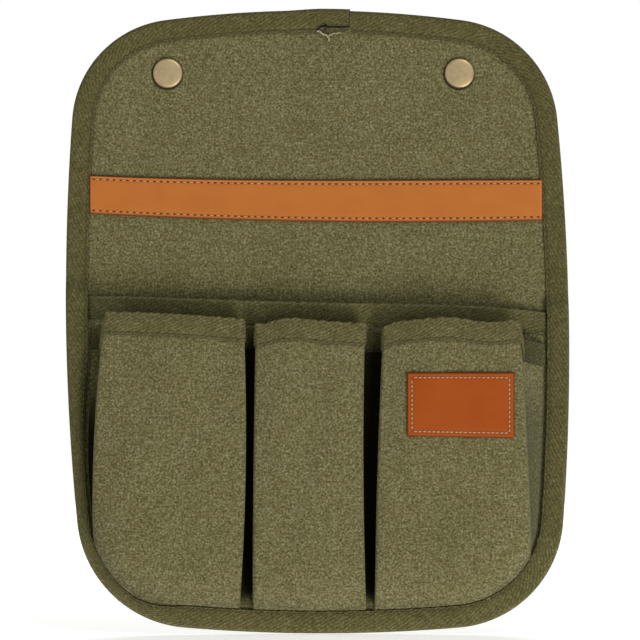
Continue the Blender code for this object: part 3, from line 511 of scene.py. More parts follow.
# Turned piece about the Y axis through (x, z): its profile of radius and height is spun in even steps.
# A closed profile makes a ring, an open one starts and ends on the axis. Height grows towards outward.
def turnedPiece(name, profile, closed, place, base, outward, look, steps=56):
    profile = np.array(profile)
    inner = profile if closed else profile[1:-1]
    turn = np.linspace(0, 2 * np.pi, steps, endpoint=False)
    radius = inner[:, :1]
    level = np.broadcast_to(base + outward * inner[:, 1:], (len(inner), steps))
    ring = np.stack([place[0] + radius * np.cos(turn), level, place[1] + radius * np.sin(turn)], -1)
    along = np.cumsum(np.hypot(*np.diff(inner, axis=0, prepend=inner[:1]).T))
    uv = np.stack(np.broadcast_arrays(radius * turn, along[:, None]), -1)
    corner = np.arange(ring[..., 0].size).reshape(len(inner), steps)
    lower = np.roll(corner, -1, 0) if closed else corner[1:]
    upper = corner if closed else corner[:-1]
    quads = np.stack([upper, lower, np.roll(lower, -1, 1), np.roll(upper, -1, 1)], -1).reshape(-1, 4)
    faces = [quads]
    points = ring.reshape(-1, 3)
    uv = uv.reshape(-1, 2)
    if not closed:
        poles = [[place[0], base + outward * profile[i, 1], place[1]] for i in (0, -1)]
        points = np.vstack([points, poles])
        uv = np.vstack([uv, np.zeros((2, 2))])
        first = np.full(steps, corner.size)
        faces += [np.stack([first, corner[0], np.roll(corner[0], -1)], -1),
                  np.stack([first + 1, np.roll(corner[-1], -1), corner[-1]], -1)]
    if outward > 0:
        faces = [block[:, ::-1] for block in faces]
    return meshPiece(name, points, faces, uv, look)


# Stitches along lines of points with normals: every pitch holds one round thread that arches up from its
# two holes, its height falling with the square of the distance from its middle
def stitchRow(name, lines, size, look):
    blocks = []
    arch = np.linspace(-1, 1, 6)
    circle = np.linspace(0, 2 * np.pi, 5, endpoint=False)
    for line, normals in lines:
        line = line.copy()
        line[:, 0] = leaned(line[:, 0], line[:, 2])
        length = walked(line)
        count = max(1, int(length[-1] / size["pitch"]))
        middle = (length[-1] - count * size["pitch"]) / 2 + size["pitch"] * (np.arange(count) + 0.5)
        middle = middle + random.normal(0, size["pitch"] * 0.03, count)
        reach = size["pitch"] * size["fill"] / 2
        at = middle[:, None] + reach * arch
        centre = np.stack([np.interp(at, length, line[:, i]) for i in range(3)], -1)
        outward = np.stack([np.interp(at, length, normals[:, i]) for i in range(3)], -1)
        outward /= np.linalg.norm(outward, axis=-1, keepdims=True)
        tangent = np.gradient(centre, axis=1)
        tangent /= np.linalg.norm(tangent, axis=-1, keepdims=True)
        side = np.cross(tangent, outward)
        thin = size["radius"] * np.sqrt(1.02 - np.abs(arch) ** 3)
        lift = size["radius"] * (1.1 - 1.7 * arch ** 2)
        offset = (lift[:, None] + thin[:, None] * np.cos(circle))[None, :, :, None] * outward[:, :, None]
        offset = offset + (thin[:, None] * np.sin(circle))[None, :, :, None] * side[:, :, None]
        blocks.append(centre[:, :, None] + offset)
    points = np.concatenate(blocks)
    corner = np.arange(points[..., 0].size).reshape(points.shape[:-1])
    upper, lower = corner[:, :-1], corner[:, 1:]
    quads = np.stack([upper, np.roll(upper, -1, 2), np.roll(lower, -1, 2), lower], -1).reshape(-1, 4)
    ends = [corner[:, 0, ::-1], corner[:, -1]]
    # the thread's map runs from -1 to 1 mm along each stitch, and about 1 mm round it
    uv = np.stack(np.broadcast_arrays(arch[:, None] / 1000, circle / 6000), -1)
    return meshPiece(name, points, [quads] + ends, np.broadcast_to(uv, (*corner.shape, 2)), look)


# Round tube along a path, tapering as its radii do: rings in planes square to the way, closed at both ends
def tubePiece(name, path, radius, look, steps=8):
    way = np.gradient(path, axis=0)
    way /= np.linalg.norm(way, axis=1, keepdims=True)
    side = np.cross(way, [0.0, -1.0, 0.0])
    side /= np.linalg.norm(side, axis=1, keepdims=True)
    outward = np.cross(side, way)
    turn = np.linspace(0, 2 * np.pi, steps, endpoint=False)[None, :, None]
    radius = np.broadcast_to(radius, len(path))[:, None, None]
    points = path[:, None] + radius * (np.cos(turn) * outward[:, None] + np.sin(turn) * side[:, None])
    corner = np.arange(len(path) * steps).reshape(len(path), steps)
    quads = np.stack([corner[:-1], np.roll(corner[:-1], -1, 1), np.roll(corner[1:], -1, 1), corner[1:]],
                     -1).reshape(-1, 4)
    uv = np.stack(np.broadcast_arrays(walked(path)[:, None], 0.0003 * turn[..., 0]), -1)
    return meshPiece(name, points, [quads, corner[:1, ::-1], corner[-1:]], uv, look)


# Panel of canvas and its lining


# Columns across and rows up the panel: rows follow the bottom and top edges, columns the side arcs,
# and both are closer together near the edges
def panelGrid(inset, columns, rows):
    t = np.linspace(-1, 1, columns)
    u = 0.45 * t + 0.55 * np.sin(np.pi / 2 * t)
    v = np.linspace(0, 1, rows)
    sideZ = bottomCorner[1] + (topCorner[1] - bottomCorner[1]) * v
    reach = sideCentre[0] + np.sqrt((panel["sideBow"] - inset) ** 2 - (sideZ - panel["centreZ"]) ** 2)
    x = u * reach[:, None]
    low = endHeight(u * reach[0], inset, -1)
    high = endHeight(u * reach[-1], inset, 1)
    z = low + (high - low) * v[:, None]
    return x, z


# How far the cloth stands off flat: broad waves that die out at the edge and along the fold, and a dent
# round each snap
def panelWaves(x, z):
    edge = smooth((sideReach(np.clip(z, -0.14, 0.08), 0.0) - np.abs(x)) / 0.05) * smooth((0.135 - z) / 0.04)
    fold = smooth((np.abs(z - panel["foldZ"]) - 0.012) / 0.03)
    waves = panel["waveHeight"] * ripple(x + 0.35 * z, 0.085, 3) * ripple(z, 0.11, 5) * edge * fold
    dents = 0.0
    for place in snaps["x"].values():
        far = np.hypot(x - place, z - snaps["capZ"])
        dents = dents + panel["dentDepth"] * np.exp(-(np.maximum(far - 0.006, 0) / 0.006) ** 2)
    return waves, dents


x, z = panelGrid(panel["clothInset"], 108, 132)
waves, dents = panelWaves(leaned(x, z), z)
canvasPanel = gridSheet("canvasPanel", np.stack([x, panel["canvasY"] - waves + dents * 0.6, z], -1), x, z,
                        cloth["canvas"], looks["canvas"])
lining = gridSheet("liningCloth", np.stack([x, panel["liningY"] - waves, z], -1), x, z, cloth["lining"],
                   looks["lining"])
for piece, kind in ((canvasPanel, "panel"), (lining, "lining")):
    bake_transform(piece)
    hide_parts(kind + "_main", kind + "_flap")
print("panel made")


# Binding round the edge

binding = {
    "width": 0.0130, "round": 0.0020, "narrowing": 0.0058, "narrowUp": 0.1750, "narrowRise": 0.0900,
    "narrowAside": 0.0750, "narrowRun": 0.0400, "front": -0.00235, "pocketFront": -0.00655, "back": 0.00065,
    "rise": 0.0120, "mouths": (0.1944, 0.1850), "lapStart": 0.0070, "lapEnd": 0.0217, "lapRise": 0.0400,
    "seam": 0.0015, "backSeam": 0.0023, "lapShort": 0.0029, "spacing": 0.0021, "waver": 0.00022,
    "swell": 0.00022, "backSwell": 0.00018, "pucker": 0.00016, "cornerPucker": 0.00030, "lapLift": 0.0012,
    "lapSeamLift": 0.0009,
    # painted shade beside the left groove, its height and reach, and painted shade along the right side
    "grooveShade": 0.70, "grooveUp": 0.128, "grooveReach": 0.030, "rightShade": 0.07,
}


# Width of the binding's front leg, narrower at the lower left
def bindingWidth(x, z):
    low = smooth((up(binding["narrowUp"]) - z) / binding["narrowRise"])
    left = smooth((-x - binding["narrowAside"]) / binding["narrowRun"])
    return binding["width"] - binding["narrowing"] * low * left


# Depth of the front leg: it lies on the canvas of the flap, and further out over the pockets' hems
def bindingFront(x, z):
    mouth = np.where(x < 0, *binding["mouths"])
    raised = smooth((up(mouth) + binding["rise"] - z) / binding["rise"])
    return binding["front"] + (binding["pocketFront"] - binding["front"]) * raised


loop = edgeLoop(0.0010)
loop = np.vstack([loop, loop, loop[:1]])
loopLength = walked(loop[:, :2])
around = loopLength[-1] / 2
s = np.arange(binding["lapStart"], around + binding["lapEnd"], binding["spacing"])
looks["binding"] = twillTape(
    "olive_twill_binding_ribbed", (
        (0.25, "#2D2A12"), (0.42, "#44401D"), (0.55, "#54502D"), (0.75, "#726E49")), ribs,
    {"start": 1000 * around + 0.5, "corner": 1000 * around + 6.5, "height": 1.0, "cornerHeight": 2.6,
     "end": 1000 * s[-1], "bottom": 500 * around, "under": 1000 * binding["lapEnd"]})
edgeX, edgeZ, outX, outZ = (np.interp(s, loopLength, column) for column in loop.T)
curve = np.abs(np.gradient(np.unwrap(np.arctan2(outZ, outX)), s))
cornering = smooth((curve - 4.0) / 9.0)  # 1 in the round corners, where the tape puckers
lapping = smooth((s - (around + binding["lapEnd"] - binding["lapRise"])) / 0.025)  # 1 over its own start
gaping = smooth((s - around - 0.0005) / 0.0035)  # 1 where the lap stands open
width = bindingWidth(edgeX, edgeZ) + binding["waver"] * ripple(s, 0.011, 11) - binding["lapShort"] * gaping
front = bindingFront(edgeX, edgeZ)
step = cloth["tape"] + cloth["gap"]

# profile across the tape: shares of the front leg from its inner edge, turns of the fold and shares of the back
# leg. Each leg swells like a pillow on both sides of its seam.
frontShare = np.array([0, 0.05, 0.10, 0.14, 0.20, 0.30, 0.42, 0.55, 0.68, 0.80, 0.90, 1.0])
pillow = np.array([0.2, 0.1, -0.5, -0.8, -0.2, 0.5, 0.9, 1.0, 0.9, 0.6, 0.3, 0.0])
turns = np.radians([-66, -40, -14, 14, 40, 66])
backShare = np.array([1.0, 0.85, 0.65, 0.45, 0.25, 0.12, 0.05, 0.0])
foldInset = binding["round"] + cloth["tape"] / 2 - step * lapping
frontInset = width[:, None] + (foldInset - width)[:, None] * frontShare
pucker = (binding["pucker"] + binding["cornerPucker"] * cornering) * ripple(s, 0.0048, 13)
pucker = pucker[:, None] * (1 - frontShare) ** 1.5
frontY = (front - step * lapping)[:, None] - binding["swell"] * pillow + pucker
frontY = frontY - binding["lapLift"] * gaping[:, None] * (1 - frontShare) ** 2
backY = np.full(s.shape, binding["back"])
middleY = (frontY[:, -1] + backY) / 2
halfY = (backY - frontY[:, -1]) / 2
turnInset = foldInset[:, None] - binding["round"] * np.cos(turns)
turnY = middleY[:, None] + halfY[:, None] * np.sin(turns)
backWidth = 2 * binding["width"] - width
backInset = backWidth[:, None] + (foldInset - backWidth)[:, None] * backShare
backPillow = np.array([0.0, 0.5, 0.9, 0.9, 0.4, -0.6, 0.0, 0.1])
backRows = backY[:, None] + binding["backSwell"] * backPillow
backRows = backRows + 0.0001 * ripple(s, 0.005, 17)[:, None] * (1 - backShare)
inset = np.hstack([frontInset, turnInset, backInset])
depth = np.hstack([frontY, turnY, backRows])
bindingPoints = np.stack([edgeX[:, None] - inset * outX[:, None], depth,
                          edgeZ[:, None] - inset * outZ[:, None]], -1)
acrossTape = walked(bindingPoints)
acrossTape = np.broadcast_to(acrossTape.mean(0), acrossTape.shape)
edgeBinding = gridSheet("edgeBinding", bindingPoints.transpose(1, 0, 2), s[None, :], acrossTape.T, cloth["tape"],
                        looks["binding"])
# painted shade on the front leg: beside the left groove, darkest at the leg's inner edge, and a little along the
# right side
besideGroove = np.exp(-((edgeZ - up(binding["grooveUp"])) / binding["grooveReach"]) ** 2) * (edgeX < -0.1)
besideRight = smooth((edgeX[:, None] - 0.10) / 0.02)
shaded = np.zeros(inset.shape)
shaded[:, :len(frontShare)] = (
    binding["grooveShade"] * besideGroove[:, None] * (1 - smooth(frontShare / 0.75))
    + binding["rightShade"] * besideRight)
addPaintedShade(edgeBinding, shaded.T)
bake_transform(edgeBinding)
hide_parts("binding_main", "binding_flap", "binding_lap")

# one line of stitches through both legs, near the front leg's inner edge
seamLines = []
for legInset, legY, outwardY in ((width - binding["seam"], front - step * lapping - cloth["tape"] / 2, -1.0),
                                 (backWidth - binding["backSeam"], backY + cloth["tape"] / 2, 1.0)):
    line = np.stack([edgeX - legInset * outX, legY + 0.00002 * outwardY, edgeZ - legInset * outZ], -1)
    if outwardY < 0:
        line[:, 1] -= binding["lapSeamLift"] * gaping
    seamLines.append((line[2:-2], np.tile([0.0, outwardY, 0.0], (len(s) - 4, 1))))
bindingSeam = stitchRow("bindingSeam", seamLines, {"pitch": 0.0031, "fill": 0.78, "radius": 0.00023},
                        looks["oliveThread"])
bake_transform(bindingSeam)

# ends of thread that hang from the open corner of the lap: x and height in millimetres
tails = {
    "lapThreadLong": (0.00062, ((-0.8, 347.4), (0.9, 346.9), (2.6, 346.0), (4.4, 344.9), (5.6, 344.3),
                                (6.3, 343.4), (6.5, 342.3), (6.6, 341.2))),
    "lapThreadShort": (0.00045, ((6.2, 344.2), (7.4, 345.0), (9.4, 345.7), (11.5, 345.9), (13.4, 346.3))),
}
for name, (radius, line) in tails.items():
    line = np.array(line) / 1000
    share = np.linspace(0, 1, len(line))
    fine = np.linspace(0, 1, 28)
    tailX = np.interp(fine, share, line[:, 0]) + 0.00018 * ripple(fine, 0.35, 23)
    tailZ = np.interp(fine, share, up(line[:, 1])) + 0.00018 * ripple(fine, 0.3, 24)
    tailY = binding["front"] - 0.0003 - 0.0005 * np.sin(np.pi * fine)
    tail = tubePiece(name, np.stack([tailX, tailY, tailZ], -1), radius * (1 - 0.25 * fine), looks["looseThread"])
    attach(tail, "flap")
print("binding made")


# Leather strip over the fold

strip = {"left": -0.1315, "right": 0.1298, "height": 0.0240, "back": -0.0020, "thick": 0.0017, "pitch": 0.00388,
         "margin": 0.0012, "seam": 0.0023, "waveHeight": 0.00012, "seamShare": 0.88,
         "places": (-131.5, -95, -56, 0, 36, 80, 129.8)}
stripStitches = int((strip["right"] - strip["left"] - 2 * strip["margin"]) / strip["pitch"])
stripTop = measuredLine({"x": strip["places"], "height": (264.1, 262.7, 261.7, 261.4, 261.3, 261.4, 261.6)}, 3)
stripBottom = measuredLine({"x": strip["places"], "height": (241.7, 240.0, 238.5, 237.2, 236.7, 237.1, 237.8)}, 3)
fromEdge = np.array([0.0, 0.00012, 0.00035, 0.0007, 0.0011, 0.0016, 0.0020, 0.0023, 0.0026, 0.0031, 0.0040,
                     0.0052, 0.0066, 0.0080, 0.0094, 0.0107])
relief = np.array([0.45, 0.72, 0.90, 1.0, 1.05, 1.02, 0.93, 0.88, 0.93, 1.0, 1.03, 1.03, 1.02, 1.01, 1.0, 1.0])
x = np.linspace(strip["left"], strip["right"], 176)
low, high = up(stripBottom(x)), up(stripTop(x))
offset = np.concatenate([fromEdge, strip["height"] - fromEdge[::-1]])
shape = np.concatenate([relief, relief[::-1]])
ends = np.minimum(x - strip["left"], strip["right"] - x)
endShape = np.interp(ends, fromEdge, np.minimum(relief, 1.0))
z = low + (high - low) * (offset / strip["height"])[:, None]
stripX = upright(x, z)
waves = strip["waveHeight"] * ripple(x, 0.05, 21)
face = strip["back"] - strip["thick"] * np.minimum(shape[:, None], 0.2 + endShape) - waves
stripFront = np.stack([stripX, face, z], -1)
stripBack = np.stack([stripX, np.full(z.shape, strip["back"]), z], -1)
looks["strip"] = smoothLeather(
    "tan_leather_smooth", ((0.28, "#A25C24"), (0.50, "#AA6327"), (0.74, "#B26A2D")),
    {"raised": 2.0, "share": 0.7, "light": "#C27A3B", "channel": 2.3, "dark": "#4C240A"},
    (strip["right"] - strip["left"], strip["height"]), 0.55,
    {"pitch": 1000 * strip["pitch"], "start": 500 * (strip["right"] - strip["left"])
     - 500 * strip["pitch"] * (stripStitches % 2), "long": 0.80, "wide": 0.62})
leatherStrip = slab("leatherStrip", stripFront, stripBack, np.broadcast_to(x - strip["left"], z.shape),
                    np.broadcast_to(offset[:, None], z.shape), looks["strip"])
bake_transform(leatherStrip)
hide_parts("leather_strip_lower", "leather_strip_upper")
seamShare = strip["seam"] / strip["height"]
seamX = np.linspace(strip["left"] + strip["margin"], strip["right"] - strip["margin"], 170)
for name, share, body in (("stripSeamUpper", 1 - seamShare, "flap"), ("stripSeamLower", seamShare, "panel")):
    seamZ = np.interp(seamX, x, low + (high - low) * share)
    place = upright(seamX, seamZ)
    seamY = strip["back"] - strip["seamShare"] * strip["thick"] - np.interp(seamX, x, waves)
    onFront = np.stack([place, seamY, seamZ], -1)
    onBack = np.stack([place, np.full(len(seamX), 0.00002), seamZ], -1)
    seam = stitchRow(name, [(onFront, np.tile([0.0, -1.0, 0.0], (len(seamX), 1)))],
                     {"pitch": strip["pitch"], "fill": 0.66, "radius": 0.00032}, looks["tanThread"])
    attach(seam, body)
    behind = stitchRow(name + "Back", [(onBack, np.tile([0.0, 1.0, 0.0], (len(seamX), 1)))],
                       {"pitch": strip["pitch"], "fill": 0.74, "radius": 0.00028}, looks["oliveThread"])
    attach(behind, body)
print("leather strip made")


# Wide pocket

# half widths of the cloth, of its tape, and of the reaches in which the mouth and the lower edge are followed
wide = {"gape": 0.0070, "run": 0.070, "tape": 0.0130, "tuck": 0.006, "half": 0.1320, "tapeHalf": 0.1322,
        "mouthHalf": 0.134, "lowHalf": 0.1345, "waveHeight": 0.0005,
        "mouth": {"x": (-131.3, -95, -56.3, -27.4, 0, 41.8, 69.0, 105.3, 132.4),
                  "height": (194.4, 193.5, 192.5, 190.9, 190.4, 190.2, 189.2, 187.4, 184.8)}}
wideMouthLine = measuredLine(wide["mouth"], 4)
tapeOffset = cloth["canvas"] / 2 + cloth["tape"] / 2 + 0.0001
belowMouth = tapeOffset + cloth["tape"] / 2
tapeRise = wide["tape"] - belowMouth
tapeStitch = {"pitch": 0.0031, "fill": 0.78, "radius": 0.00022}
tapeRelief = {"waver": 0.00012, "swell": 0.00016, "scallop": 0.00034}


# World z of the wide pocket's mouth at x
def wideMouth(x):
    return up(wideMouthLine(np.clip(x, -wide["mouthHalf"], wide["mouthHalf"])))


# How far the wide pocket's cloth stands forward: fully at the middle of its mouth, by a cubic towards the sides
def wideBulge(x, z):
    across = 1 - np.minimum(np.abs(x) / wide["half"], 1.0) ** 3
    return wide["gape"] * across * smooth(1 + (z - wideMouth(x)) / wide["run"])


# Points on the wide pocket's cloth at places across and heights: it stands forward by its bulge and by the size
# of a wave, which dies out at the sides and at the bottom
def widePoints(x, z):
    x = np.broadcast_to(x, z.shape)
    waves = wide["waveHeight"] * ripple(x, 0.06, 31) * smooth((0.12 - np.abs(x)) / 0.03)
    return np.stack([x, panel["wideY"] - wideBulge(x, z) - np.abs(waves) * smooth((z + 0.12) / 0.08), z], -1)


# Tape folded over a mouth: rows up the front leg, moved out from the cloth, over its edge in half an ellipse, and
# down the back leg, moved in. The surface gives the cloth's points at rows of heights, and top is its edge. It
# gives back the tape, the line and normals of its seam, and its length.
def mouthTape(name, surface, top, height, look, seed):
    rise = np.array([0.0, 0.4, 0.9, 1.4, 1.9, 3.0, 4.5, 6.2, 8.0, 9.8, 11.0, 11.6]) / 11.6
    puff = np.array([0.3, 0.1, -0.3, -0.5, 0.0, 0.5, 0.9, 1.0, 0.9, 0.6, 0.3, 0.0])
    leg = top - height * (1 - rise)[:, None]
    base = surface(leg)
    along = walked(base[-1])
    waver = tapeRelief["waver"] * ripple(along, 0.012, seed) * (1 - rise[:, None])
    outer = movedOut(base, tapeOffset + tapeRelief["swell"] * puff[:, None] + waver)
    edge = base[-1:]
    # the ribs show as small bumps along the fold
    scallop = tapeRelief["scallop"] * ripple(along, 0.0052, seed + 3)
    bends = []
    for angle in np.radians([22, 45, 68, 90, 112, 135, 158]):
        bent = movedOut(edge, tapeOffset * np.cos(angle))
        bent[..., 2] += (tapeOffset * 1.15 + scallop) * np.sin(angle)
        bends.append(bent)
    inner = movedOut(base[::-2], -tapeOffset)
    points = np.concatenate([outer, *bends, inner])
    across = walked(points.transpose(1, 0, 2)).mean(0)
    made = gridSheet(name, points, along[None, :], across[:, None], cloth["tape"], look)
    seam = movedOut(base[3:4], tapeOffset + cloth["tape"] / 2)[0]
    way = np.gradient(seam[:, :2], axis=0)
    normal = np.stack([way[:, 1], -way[:, 0], np.zeros(len(way))], -1)
    normal /= np.linalg.norm(normal, axis=1, keepdims=True)
    return made, (seam, normal), float(along[-1])


x = np.linspace(-1, 1, 96) * (wide["half"] + wide["tuck"])
share = np.linspace(0, 1, 60) ** 0.85
top = wideMouth(x) - belowMouth
low = endHeight(np.clip(x, -wide["lowHalf"], wide["lowHalf"]), 0.004, -1)
z = low + (top - low) * share[:, None]
widePocket = gridSheet("widePocket", widePoints(x, z), x[None, :], z, cloth["canvas"], looks["canvas"])
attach(widePocket, "panel")
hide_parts("wide_pocket")
x = np.linspace(-1, 1, 110) * wide["tapeHalf"]
wideTape, wideSeam, tapeLength = mouthTape("widePocketTape", lambda rows: widePoints(x, rows),
                                           wideMouth(x) - belowMouth, tapeRise, looks["mouth"], 41)
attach(wideTape, "panel")
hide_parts("wide_pocket_tape")
print("wide pocket made")


# Bellows pockets: each front with its two gussets is one cloth

pleat = {"depth": 0.0180, "swell": 0.0025, "crown": 0.0015, "closing": 0.0075, "round": 0.0021, "lean": -0.0003,
         "start": 0.0025, "under": 0.0022, "foldHeight": 0.0011, "fineFold": 0.00035, "sag": 0.0012,
         "flatHeight": 0.176, "flatGap": 0.0140}
# edges at bottom, middle and mouth; heights of the two feet, an outer one with its height beside the crease;
# the mouth as measured, in millimetres
pockets = {
    "left": {
        "edgeLeft": (-0.1290, -0.1288, -0.1214), "edgeRight": (-0.0474, -0.0424, -0.0427),
        "feet": ((0.1766, 0.1772), 0.1771), "seed": 51,
        "mouth": {"x": (-122, -118.6, -93.8, -75, -56.3, -43.0),
                  "height": (185.3, 185.4, 184.6, 183.6, 182.3, 181.2)},
        "degree": 3, "nodes": ("pocket_left", "pleat_left_edge"), "outer": "left"},
    "middle": {
        "edgeLeft": (-0.0390, -0.0373, -0.0349), "edgeRight": (0.0253, 0.0247, 0.0269),
        "feet": (0.1771, 0.1750), "seed": 57,
        "mouth": {"x": (-34.9, -27.4, -21.6, -16.4, -10.1, 0.3, 13.0, 23.4, 27.0),
                  "height": (178.9, 179.2, 181.0, 181.8, 181.3, 180.6, 179.4, 178.9, 179.0)},
        "degree": 6, "nodes": ("pocket_middle",), "outer": None},
    "right": {
        "edgeLeft": (0.0309, 0.0335, 0.0382), "edgeRight": (0.1215, 0.1188, 0.1156),
        "feet": (0.1750, (0.1668, 0.1702)), "seed": 63,
        "mouth": {"x": (39.5, 45.9, 57.4, 69.0, 80.5, 84.5, 92.0, 99.5, 111.7, 117.0),
                  "height": (177.1, 179.6, 181.0, 181.9, 181.9, 181.0, 179.6, 179.5, 180.6, 179.4)},
        "degree": 6, "nodes": ("pocket_right", "pleat_right_edge"), "outer": "right"},
}


# Inset from the outline of the line where the pockets rise, at the binding's inner edge
def seamInset(x):
    return bindingWidth(x, up(0.0)) + 0.0004


seamZ = float(endHeight(0.0, seamInset(0.0), -1))

# Columns across a pocket: a gusset from its foot, a quarter turn round the crease, the front, and back.
# The part is 0 at a foot and 1 at a crease, the turn goes round the crease, and the front's share runs across it.
gussetPart = np.array([0, 0.10, 0.22, 0.34, 0.42, 0.50, 0.58, 0.70, 0.80, 0.88, 0.94, 0.98])
creaseTurn = np.radians(np.linspace(0, 90, 10))[:-1]
acrossShare = np.linspace(0, 1, 60)
columnCount = 2 * len(gussetPart) + 2 * len(creaseTurn) + len(acrossShare)
nearLeft = slice(0, len(gussetPart))
turnLeft = slice(len(gussetPart), len(gussetPart) + len(creaseTurn))
acrossFront = slice(turnLeft.stop, turnLeft.stop + len(acrossShare))
turnRight = slice(acrossFront.stop, acrossFront.stop + len(creaseTurn))
nearRight = slice(turnRight.stop, columnCount)


# The mouth's world z at every column: the measured line on the front, and down to each foot's own height. An
# outer gusset's mouth lies lower than the front's, and drops to it by a smooth step in the turn of the crease.
def mouthTops(pocket):
    size = pockets[pocket]
    line = measuredLine(size["mouth"], size["degree"])
    left, right = size["edgeLeft"][2], size["edgeRight"][2]
    tops = np.empty(columnCount)
    turned = pleat["round"]
    tops[acrossFront] = line(left + turned + (right - left - 2 * turned) * acrossShare)
    tops[turnLeft] = line(left + turned * (1 - np.cos(creaseTurn)))
    tops[turnRight] = line(right - turned * (1 - np.cos(creaseTurn[::-1])))
    for foot, near, along, turning, turn, crease in (
            (size["feet"][0], nearLeft, gussetPart, turnLeft, creaseTurn, 0),
            (size["feet"][1], nearRight, gussetPart[::-1], turnRight, creaseTurn[::-1], -1)):
        beside = foot
        if isinstance(foot, tuple):
            foot, beside = foot
            dropped = smooth((0.66 - turn / (np.pi / 2)) / 0.60)
            tops[turning] = tops[turning] + (beside - tops[turning]) * dropped
        corner = tops[turning][crease]
        tops[near] = foot + (beside - foot) * along + (corner - beside) * smooth((along - 0.4) / 0.6)
    return up(tops) - belowMouth


# Standing folds of a front: broad leaning ones, a ripple across times a ripple up, with small ones over them.
# They grow from the seam, and die out at both creases with the root of a sine.
def frontFolds(seed, across, z):
    rise = smooth((z - seamZ) / 0.03)
    folds = pleat["foldHeight"] * ripple(across + 1.1 * (z - seamZ), 0.75, seed) * ripple(z, 0.16, seed + 1)
    small = pleat["fineFold"] * ripple(across * 0.08 + 0.4 * z, 0.022, seed + 2)
    return (folds + small) * rise * np.sin(np.pi * across) ** 0.5


# Points of a pocket at rows of heights; low is each column's height at the bottom seam. The front stands off
# by a depth that closes exponentially at the seam, swells half way up and is crowned across.
def pocketPoints(pocket, z, low):
    size = pockets[pocket]
    turned = pleat["round"]
    mouth = up(np.mean(size["mouth"]["height"]) / 1000)
    share = (z - seamZ) / (mouth - seamZ)
    left = through(size["edgeLeft"], share)
    right = through(size["edgeRight"], share)
    if size["outer"] == "right":
        right = right + 0.0006 * smooth((share - 0.80) / 0.20)  # its taped corner stands out a little
    rise = np.maximum(z - low, 0.0)
    depth = pleat["depth"] + pleat["swell"] * np.sin(np.pi * np.clip(share, 0, 1))
    depth = depth * (1 - np.exp(-rise / pleat["closing"]))
    bend = np.minimum(turned, 0.35 * depth)
    x = np.empty(z.shape)
    y = np.empty(z.shape)
    face = panel["stripY"] - depth
    for part, turn, edge, sign in ((turnLeft, creaseTurn, left, 1), (turnRight, creaseTurn[::-1], right, -1)):
        x[:, part] = edge[:, part] + sign * turned * (1 - np.cos(turn))
        y[:, part] = face[:, part] + bend[:, part] * (1 - np.sin(turn))
    part = acrossFront
    x[:, part] = left[:, part] + turned + (right[:, part] - left[:, part] - 2 * turned) * acrossShare
    crown = pleat["crown"] * (1 - (2 * acrossShare - 1) ** 2) * depth[:, part] / pleat["depth"]
    y[:, part] = face[:, part] - crown - frontFolds(size["seed"], acrossShare, z[:, part])
    for part, along, edge, sign in ((nearLeft, gussetPart, left, -1), (nearRight, gussetPart[::-1], right, 1)):
        zPart = z[:, part]
        if size["outer"] == ("left" if sign < 0 else "right"):
            footX = sign * sideReach(zPart, bindingWidth(edge[:, part], zPart) + 0.0020)
        else:
            footX = edge[:, part] + sign * pleat["lean"]
        footY = panel["stripY"] - wideBulge(footX, zPart)
        creaseX = edge[:, part]
        creaseY = face[:, part] + bend[:, part]
        if sign < 0 and size["outer"] == "left":
            # flat on the panel as far as the crease, then straight forward
            behind = creaseX + 0.0012
            flat = smooth(along / 0.5)
            forward = np.clip((along - 0.42) / 0.58, 0, 1)
            x[:, part] = footX + (behind - footX) * flat + (creaseX - behind) * forward
            y[:, part] = footY + (creaseY - footY) * forward
        else:
            # the gusset sags into the pocket between foot and crease
            sag = pleat["sag"] * np.sin(np.pi * along) * (1 - np.exp(-rise[:, part] / 0.02))
            x[:, part] = footX + (creaseX - footX) * along - sign * sag
            y[:, part] = footY + (creaseY - footY) * along
    return np.stack([x, y, z], -1)


# Height of the seam at each column: where the column's place across meets the curved bottom seam
def seamLow(pocket):
    low = np.full(columnCount, seamZ)
    for _ in range(5):
        x = pocketPoints(pocket, low[None, :], low)[0, :, 0]
        low = endHeight(x, seamInset(x), -1)
    edges = turnLeft.start, turnRight.stop - 1
    low[nearLeft] = low[edges[0]] + (pleat["start"] * (1 - gussetPart) if pocket == "left" else 0.0)
    low[nearRight] = low[edges[1]] + (pleat["start"] * (1 - gussetPart[::-1]) if pocket == "right" else 0.0)
    return low


